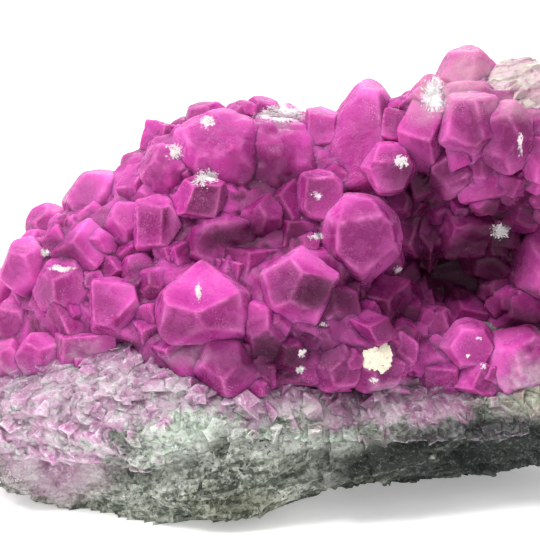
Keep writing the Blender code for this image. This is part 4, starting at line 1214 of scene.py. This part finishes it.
def magenta_material():
    n = Nodes("magenta_calcite")
    cloud = n.noise(0.14, 2)
    veil = n.noise(0.40, 4, 0.55, 0.8)
    frost = n.noise(4.5, 4, 0.65)
    deep = n.mark("deep")
    # How light the body is: each face's painted light and shade, the crystal's random tint and a cloudy tone.
    depth = n.math("ADD", n.times(n.mark("tint"), 0.3), n.mark("shade"))
    depth = n.math("ADD", depth, cloud)
    body = n.mix(n.range(depth, 0.5, 1.6), (0.11, 0.001, 0.055), (0.50, 0.030, 0.31))
    # Painted light: the regions where the light falls are lightened.
    body = n.mix(n.times(n.mark("light"), n.range(depth, 0.5, 1.6, 0.3, 0.8)), body, (0.68, 0.12, 0.48))
    body = n.mix(n.times(n.mark("violet"), 0.5), body, (0.18, 0.016, 0.14))
    # Painted shade in the creases between crystals, where they stand little out of the crust.
    body = n.mix(n.range(n.mark("proud"), 0.5, 0.15, 0, 0.6), body, (0.10, 0.001, 0.05))
    # Painted shade: a dark core on the side of each crystal turned out towards the front.
    body = n.mix(n.times(n.mark("core"), 0.65), body, (0.13, 0.0006, 0.07))
    # Painted shade: the pocket and the recesses are darkened nearly to black, and the lighter overlays below
    # are kept out of them.
    body = n.mix(n.times(deep, 0.95), body, (0.026, 0.0001, 0.009))
    clear = n.range(deep, 0, 0.8, 1, 0.08)
    # Painted light: a light rim on the sides turned away, where the crystal stands out of the crust.
    rim = n.times(n.mark("rim"), n.range(n.mark("proud"), 0.2, 0.7, 0, 0.42))
    body = n.mix(n.times(rim, clear), body, (0.78, 0.20, 0.56))
    # Lighter crystal edges: partly frosted wear, partly painted highlight.
    edge = n.times(n.mark("edge"), n.patches((0.45, 4, 0.6), 0.35, 0.65, 0.0, 0.5))
    body = n.mix(n.times(edge, clear), body, (0.86, 0.30, 0.66))
    body = n.mix(n.times(n.range(veil, 0.47, 0.72, 0, 0.2), clear), body, (0.72, 0.16, 0.52))
    body = n.mix(n.times(n.range(frost, 0.42, 0.66, 0, 0.1), clear), body, (0.78, 0.28, 0.62))
    salmon = n.times(n.mark("salmon"), n.patches((0.5, 4, 0.6), 0.3, 0.6, 0.5, 1))
    body = n.mix(salmon, body, (0.54, 0.29, 0.38))
    frosted = n.times(n.mark("frosted"), n.patches((0.6, 4, 0.6), 0.3, 0.6, 0.6, 1))
    frost_tone = n.mix(n.patches((0.4, 4, 0.65), 0.4, 0.6), (0.36, 0.12, 0.30), (0.50, 0.42, 0.45))
    body = n.mix(frosted, body, frost_tone)
    # Painted sparkle: white specks in clusters, glints painted into the colour.
    sparkle_clusters = n.patches((0.3, 4, 0.7), 0.5, 0.66)
    specks = n.times(n.patches((4.5, 2, 0.8), 0.56, 0.66, 0, 0.35), sparkle_clusters)
    body = n.mix(n.times(specks, clear), body, (0.90, 0.58, 0.80))
    broken = n.math("ADD", n.mark("bruise"), n.patches((1.8, 5, 0.75), 0.3, 0.7, -0.5, 0.4))
    body = n.mix(n.range(broken, 0.3, 0.7, 0, 0.95), body, (0.90, 0.80, 0.85))
    scales = n.times(n.noise(1.1, 3, 0.5, 0.4, (0.5, (0.5, 1, 1.6))), n.mark("ripple"))
    skin = n.bump(frost, 0.08, 1.0, n.bump(veil, 0.3, 0.5, n.bump(scales, 0.6, 1.0)))
    return n.finish(body, n.range(veil, 0.3, 0.7, 0.15, 0.4), skin, Subsurface_Weight=1.0,
                    Subsurface_Radius=(1.0, 0.2, 0.6), Subsurface_Scale=0.0025, IOR=1.5,
                    Specular_IOR_Level=0.16)


def rock_colour(n):
    """Grey-green granular rock with white and black grains in thin layers, and its larger patches."""
    grain, fine = n.cells(0.8, layers=BEDDING), n.cells(1.9)
    pick = n.math("ADD", n.times(grain, 0.5), n.times(fine, 0.5))
    drift = n.noise(0.12, 4, 0.6, 0.5, BEDDING)
    pick = n.math("ADD", pick, n.range(drift, 0.3, 0.7, -0.2, 0.2))
    body = n.ramp(pick, [(0.05, (0.02, 0.024, 0.02)), (0.28, (0.09, 0.105, 0.08)),
                         (0.45, (0.23, 0.255, 0.205)), (0.6, (0.36, 0.385, 0.325)),
                         (0.75, (0.53, 0.55, 0.49)), (0.92, (0.78, 0.79, 0.74))])
    bedded = n.mark("bedded")
    beds = n.times(n.patches((0.5, 5, 0.7, 0.4, BEDDING), 0.50, 0.62), bedded)
    body = n.mix(n.times(beds, 0.7), body, (0.04, 0.05, 0.037))
    blots = n.times(n.patches((0.55, 5, 0.75, 0.3), 0.53, 0.6), n.math("SUBTRACT", 1, bedded))
    body = n.mix(n.times(blots, 0.75), body, (0.05, 0.065, 0.05))
    white = n.patches((0.4, 5, 0.75, 0.6), 0.52, 0.6)
    body = n.mix(n.times(white, 0.7), body, (0.68, 0.71, 0.65))
    # Painted shade along the bottom of the front, multiplied in with an olive tint; on the back an olive tone
    # by chance.
    olive_and_shade = n.mark("olive_and_shade")
    body = n.mix(n.times(olive_and_shade, 0.6), body, (0.42, 0.42, 0.24), "MULTIPLY")
    body = n.mix(n.times(n.mark("tan"), 0.6), body, (0.50, 0.43, 0.32))
    pale = n.times(n.mark("pale"), n.patches((0.6, 5, 0.7), 0.36, 0.58, 0.15, 0.85))
    body = n.mix(pale, body, (0.76, 0.79, 0.72))
    # Black patches, and painted shade along the right end and under the overhang.
    dark = n.times(n.mark("dark"), n.patches((0.35, 5, 0.65, 0.3, BEDDING), 0.26, 0.4))
    body = n.mix(dark, body, (0.010, 0.015, 0.011))
    salt = n.times(n.patches((1.9, 4, 0.8), 0.54, 0.64), n.mark("dark"))
    body = n.mix(n.times(salt, 0.35), body, (0.34, 0.36, 0.34))
    clusters = n.patches((0.22, 3, 0.6), 0.42, 0.6, 0.25, 1)
    specks = n.patches((1.4, 3, 0.7), 0.56, 0.62)
    body = n.mix(n.times(specks, clusters), body, (0.015, 0.017, 0.015))
    streaks = n.noise(0.5, 5, 0.65, 0.3, (0.08, (0.3, 0.8, 2.2)))
    shelf = n.ramp(streaks, [(0.3, (0.42, 0.22, 0.27)), (0.42, (0.68, 0.43, 0.51)),
                             (0.5, (0.78, 0.60, 0.66)), (0.58, (0.68, 0.60, 0.51)),
                             (0.68, (0.86, 0.79, 0.79))])
    return n.mix(n.mark("corner"), body, shelf)


def lilac_colour(n, body, strength):
    """Lays pale and lilac calcite over a colour, more magenta towards the crystals."""
    patch = n.noise(0.2, 4, 0.6)
    pick = n.math("ADD", n.times(patch, 0.85), n.times(n.cells(0.8), 0.15))
    lilac = n.ramp(pick, [(0.25, (0.20, 0.07, 0.17)), (0.4, (0.38, 0.16, 0.30)),
                          (0.52, (0.48, 0.31, 0.41)), (0.66, (0.60, 0.51, 0.54)),
                          (0.8, (0.72, 0.70, 0.66))])
    near = n.times(n.mark("near"), n.patches((0.35, 4, 0.6), 0.3, 0.6, 0.45, 1))
    lilac = n.mix(near, lilac, (0.25, 0.035, 0.18))
    veins = n.patches((1.1, 5, 0.65, 0.8), 0.52, 0.66, 0, 0.7)
    lilac = n.mix(veins, lilac, (0.78, 0.68, 0.76))
    # Painted shade: the lilac is darkened towards the seam's right end, the side away from the light.
    lilac = n.mix(n.times(n.mark("dim"), 0.6), lilac, (0.42, 0.32, 0.38), "MULTIPLY")
    return n.mix(strength, body, lilac)


def pale_material():
    n = Nodes("pale_calcite")
    low = n.math("ADD", n.mark("low"), n.patches((0.3, 4, 0.65), 0.3, 0.7, -0.5, 0.5))
    strength = n.range(low, 0.45, 0.75, 1, 0)
    body = lilac_colour(n, rock_colour(n), strength)
    body = n.mix(n.times(n.mark("edge"), 0.2), body, (0.84, 0.78, 0.82))
    grain = n.noise(2.4, 4, 0.7)
    body = n.mix(n.range(grain, 0.54, 0.66, 0, 0.5), body, (0.18, 0.08, 0.15))
    veil = n.noise(0.8, 4, 0.6, 0.3)
    skin = n.bump(grain, 0.25, 0.9, n.bump(veil, 0.4, 0.6))
    return n.finish(body, n.range(veil, 0.3, 0.7, 0.3, 0.6), skin, Subsurface_Weight=1.0,
                    Subsurface_Radius=(1.0, 0.6, 0.9), Subsurface_Scale=0.004, IOR=1.5)


def rock_material():
    n = Nodes("granular_rock")
    lilac = n.times(n.mark("lilac"), n.patches((0.4, 4, 0.6), 0.27, 0.45))
    body = lilac_colour(n, rock_colour(n), lilac)
    skin = n.bump(n.noise(2.2, 5, 0.75), 0.35, 1.0, n.bump(n.noise(0.8, 4, 0.65, 0.3), 0.9, 1.0))
    return n.finish(body, n.patches((1.2, 3), 0.3, 0.7, 0.55, 0.9), skin)


def white_material():
    n = Nodes("bruised_calcite")
    body = n.mix(n.noise(1.2, 3), (0.74, 0.62, 0.70), (0.86, 0.84, 0.80))
    return n.finish(body, 0.6, n.bump(n.noise(4, 3), 0.05, 0.5), Subsurface_Weight=0.4,
                    Subsurface_Radius=(1, 0.8, 0.9), Subsurface_Scale=0.001)


def cream_material():
    n = Nodes("cream_crust")
    body = n.mix(n.noise(0.9, 4, 0.65), (0.66, 0.58, 0.40), (0.90, 0.87, 0.78))
    body = n.mix(n.patches((1.6, 3, 0.7), 0.6, 0.68), body, (0.45, 0.30, 0.30))
    return n.finish(body, 0.85, n.bump(n.noise(2.2, 4, 0.7), 0.25, 0.9))


# ---- Stage -------------------------------------------------------------------------------------
def make_stage():
    mesh = bpy.data.meshes.new("floor")
    mesh.from_pydata([(-3, -3, 0), (3, -3, 0), (3, 3, 0), (-3, 3, 0)], [], [(0, 1, 2, 3)])
    floor = bpy.data.objects.new("floor", mesh)
    bpy.context.scene.collection.objects.link(floor)
    paper = Nodes("white_paper")
    floor.data.materials.append(paper.finish((0.95, 0.95, 0.95), 0.9, Emission_Color=(1, 1, 1),
                                             Emission_Strength=0.3))

    world = bpy.data.worlds.new("studio")
    world.use_nodes = True
    world.node_tree.nodes["Background"].inputs["Color"].default_value = (1, 1, 1, 1)
    world.node_tree.nodes["Background"].inputs["Strength"].default_value = 0.6
    bpy.context.scene.world = world
    add_light("key", (-0.27, -0.2, 0.46), 0.2, 1.9)
    add_light("top", (0.0, -0.2, 0.90), 0.8, 3.4)
    add_light("front", (0.15, -0.85, 0.5), 0.7, 2.4)
    add_light("back", (0, 1.3, 0.8), 1.2, 9, (0, 0.8, 0))


def add_light(name, place, size, power, aim=(0, 0, 0.035)):
    lamp = bpy.data.lights.new(name, "AREA")
    lamp.shape = "DISK"
    lamp.size = size
    lamp.energy = power
    light = bpy.data.objects.new(name, lamp)
    light.location = place
    light.rotation_euler = (Vector(aim) - Vector(place)).to_track_quat("-Z", "Y").to_euler()
    bpy.context.scene.collection.objects.link(light)


def make_camera():
    view = bpy.data.cameras.new("camera")
    view.sensor_width = 36
    view.lens = 135
    view.clip_start = 0.01
    camera = bpy.data.objects.new("camera", view)
    camera.location = EYE * MM
    camera.rotation_euler = FORWARD.to_track_quat("-Z", "Y").to_euler()
    bpy.context.scene.collection.objects.link(camera)
    bpy.context.scene.camera = camera


# ---- The pieces --------------------------------------------------------------------------------
def dress(piece, material, slot, *nodes):
    piece.data.materials.clear()
    piece.data.materials.append(material)
    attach(piece, "root")
    if nodes:
        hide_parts(*nodes)


def splinter(start, end, width, normal):
    """Corners of a thin pointed splinter of calcite."""
    run = (end - start).normalized()
    side = run.cross(normal).normalized() * width
    middle = start.lerp(end, 0.4)
    return [start, end, middle + side, middle - side, middle + normal * width, middle - normal * width]


SPLINTER_FACES = ((0, 2, 4), (2, 1, 4), (1, 3, 4), (3, 0, 4), (2, 0, 5), (1, 2, 5), (3, 1, 5), (0, 3, 5))


def sight_of(pieces):
    """A function that gives the point and normal of the pieces seen at a place on the front, or nothing."""
    depsgraph = bpy.context.evaluated_depsgraph_get()
    trees = [BVHTree.FromObject(piece, depsgraph) for piece in pieces]

    def meet(across, up):
        sight = (AIM + Vector((1, 0, 0)) * across + UPWARD * up - EYE).normalized()
        hits = [hit for hit in (tree.ray_cast(EYE * MM, sight) for tree in trees) if hit[0]]
        if hits:
            place, normal, _, _ = min(hits, key=lambda hit: hit[3])
            return place / MM, normal

    return meet


def seen_in_oval(meet, oval, out, turn):
    """The point and normal seen in an oval, at a share of the way out and a turn round its middle."""
    across, up, half_width, half_height = oval
    return meet(across + half_width * out * math.cos(turn), up + half_height * out * math.sin(turn))


def bloom_of(points, seen, place, oval, seed):
    """How white each point is, round a bruise with a ragged rim. Seen holds the points' across and up."""
    half_width, half_height = oval[2:]
    across, up = seen
    middle = see(np.array([place]))
    right, above = (across - middle[0]) / half_width, (up - middle[1]) / half_height
    far = np.hypot(right, above) + 1e-6
    ragged = smooth_noise(np.stack([right / far * 1.8, above / far * 1.8, far * 0 + seed * 3.7], axis=1), 61)
    depth = np.abs((points - np.array(place)) @ np.array(FORWARD))
    return np.where(depth < BLOOM_DEPTH + half_width, np.clip(1.15 + 0.5 * ragged - far, 0, 1), 0)


def make_bruises(pieces, meet):
    """White splinters and dust where the crystals are bruised, and a white bloom on the crystals there."""
    rng = random.Random(9)
    blooms, points, triangles = [], [], []
    for number, (*oval, flakes) in enumerate(BRUISES):
        middle = meet(*oval[:2])
        if not middle:
            continue
        blooms.append((middle[0], oval, number))
        feathers = [rng.uniform(0, math.tau) for _ in range(rng.randint(4, 7))]
        for _ in range(flakes * SPLINTERS_PER_FLAKE):
            turn = rng.choice(feathers) + rng.gauss(0, 0.35)
            near = rng.uniform(0, 0.7)
            far = near + rng.uniform(0.1, 0.6) ** 1.3
            start, end = (seen_in_oval(meet, oval, out, turn) for out in (near, far))
            reach = (far - near) * max(oval[2:])
            if not start or not end or (end[0] - start[0]).length > 2 * reach + 0.1:
                continue
            first = len(points)
            tip = end[0] + end[1] * rng.uniform(0.02, 0.3)
            points += splinter(start[0], tip, rng.uniform(*SPLINTER_WIDTHS), start[1])
            triangles += [(first + a, first + b, first + c) for a, b, c in SPLINTER_FACES]
        for _ in range(flakes):
            out, turn = rng.random() ** 0.7, rng.uniform(0, math.tau)
            at = seen_in_oval(meet, oval, out, turn)
            if at:
                first = len(points)
                crumb, sides = cleavage_rhomb(rng.uniform(*CRUMB_SIZES), rng)
                points += [at[0] + Vector(corner) for corner in crumb]
                triangles += [tuple(side) for side in (sides + first)]
    flakes = mesh_object("bruise_splinters", np.array([tuple(p) for p in points]), np.array(triangles))
    for piece in pieces:
        points, _ = mesh_arrays(piece)
        seen = see(points)
        bloom = np.zeros(len(points))
        for place, oval, number in blooms:
            bloom = np.maximum(bloom, bloom_of(points, seen, place, oval, number))
        write_marks(piece.data, {"bruise": bloom})
    return flakes


def cleavage_rhomb(size, rng):
    """Corners and triangles of a broken block of calcite: a slanting brick."""
    run, lean, rise = (size * rng.uniform(0.65, 1.3) for _ in range(3))
    sides = np.array([(run, 0.1 * run, 0), (0.25 * lean, lean, 0.05 * lean),
                      (0.2 * rise, -0.25 * rise, rise)])
    corners = np.array(list(itertools.product((-1, 1), repeat=3)), dtype=float)
    corners += np.array([[rng.uniform(-0.25, 0.25) for _ in range(3)] for _ in range(8)])
    quads = ((0, 1, 3, 2), (4, 6, 7, 5), (0, 4, 5, 1), (2, 3, 7, 6), (0, 2, 6, 4), (1, 5, 7, 3))
    triangles = [tri for a, b, c, d in quads for tri in ((a, b, c), (a, c, d))]
    return corners @ sides, np.array(triangles)


def sugar_crystals(seam):
    """Broken blocks of calcite, half buried in the pale seam."""
    rng = random.Random(15)
    points, triangles = mesh_arrays(seam)
    corners = points[triangles]
    normals = np.cross(corners[:, 1] - corners[:, 0], corners[:, 2] - corners[:, 0])
    area = np.linalg.norm(normals, axis=1)
    normals /= np.maximum(area, 1e-9)[:, None]
    middle = corners.mean(axis=1)
    outward = ((middle - np.array(HEART)) * normals).sum(axis=1) > 0
    shown = outward & (seam_cover(middle) > 0.5) & (crust_cover(middle) < 0.9)
    chosen = rng.choices(np.flatnonzero(shown).tolist(), area[shown].tolist(), k=SUGAR_COUNT)
    group = new_group("sugar")
    for number, index in enumerate(chosen):
        size = SUGAR_SIZES[0] + (SUGAR_SIZES[1] - SUGAR_SIZES[0]) * rng.random() ** 2.2
        normal = Vector(normals[index])
        block, sides = cleavage_rhomb(size, rng)
        turn = np.array(turn_to(normal + wander(rng, 0.55), rng.uniform(0, math.tau)))[:3, :3]
        place = middle[index] - normals[index] * size * 0.75
        mesh_object(f"sugar_{number}", block @ turn.T + place, sides, None, group)
    sugar = join_group("sugar_crystals", group)
    smooth_shaded(sugar, SHARP_ANGLES["sugar"])
    return sugar


def mark_seam(piece):
    """Marks how near the crystals and how near the rock each point of the pale calcite lies."""
    points, _ = mesh_arrays(piece)
    across, up = see(points)
    wave = 1.6 * smooth_noise(points / 4, 91) + 0.8 * smooth_noise(points / 1.6, 92)
    # The dim mark: how far right each point lies, for the painted shade on the seam's right end.
    marks = {"near": fade(up + wave - edge_height(CRYSTAL_EDGE, across) + 2.6, 5),
             "low": fade(edge_height(LILAC_EDGE, across) + 1 - up - wave, 6),
             "dim": fade(across + 3 * wave - 3, 16), **rock_marks(points)}
    write_marks(piece.data, marks)


def make_cream_patch(meet):
    """The cream crust, broken into crumbs, on the crystal that lies behind it."""
    across, up, half_width, half_height = CREAM_PATCH
    hits = [meet(across + right * half_width, up + above * half_height)
            for right, above in ((0, 0), (0.5, 0), (-0.5, 0), (0, 0.5), (0, -0.5))]
    depth = min((hit[0] - EYE) @ FORWARD for hit in hits if hit)
    target = AIM + Vector((1, 0, 0)) * across + UPWARD * up - EYE
    middle = EYE + target * (depth / (target @ FORWARD)) + FORWARD * PATCH_SUNK
    directions, triangles = NETS[6]
    sizes = np.array((half_width, half_height, PATCH_LIFT)) * PATCH_SPREAD
    height, _, rim = facets(directions * 3.2, 71)
    fine, _, fine_rim = facets(directions * 7, 72)
    reach = 1 + 0.22 * height + 0.08 * fine - 0.12 * rim - 0.05 * fine_rim
    turn = np.array(front_frame())
    points = (directions * reach[:, None] * sizes) @ turn.T + np.array(middle)
    patch = mesh_object("cream_crumbs", points, triangles)
    smooth_shaded(patch, SHARP_ANGLES["patch"])
    return patch


def main():
    scene = bpy.context.scene
    scene.view_settings.view_transform = "Standard"
    scene.view_settings.look = "None"
    make_camera()
    make_stage()
    coarse = Skins(GRID_CUTS)
    fine = Skins(ROCK_CUTS)
    rock, seam = make_rock(coarse, fine)
    sugar = sugar_crystals(seam)
    for piece in (seam, sugar):
        mark_seam(piece)
    druse = make_druse(coarse)
    meet = sight_of(druse)
    flakes = make_bruises(druse, meet)
    patch = make_cream_patch(meet)
    magenta = magenta_material()
    pale = pale_material()
    dress(rock, rock_material(), "host_rock", "host_rock")
    dress(seam, pale, "pale_calcite", "pale_calcite_seam")
    dress(sugar, pale, "pale_calcite")
    for piece in druse:
        dress(piece, magenta, "magenta_calcite", "crystal_druse")
    dress(flakes, white_material(), "pale_calcite")
    dress(patch, cream_material(), "cream_crust", "cream_patch")


main()
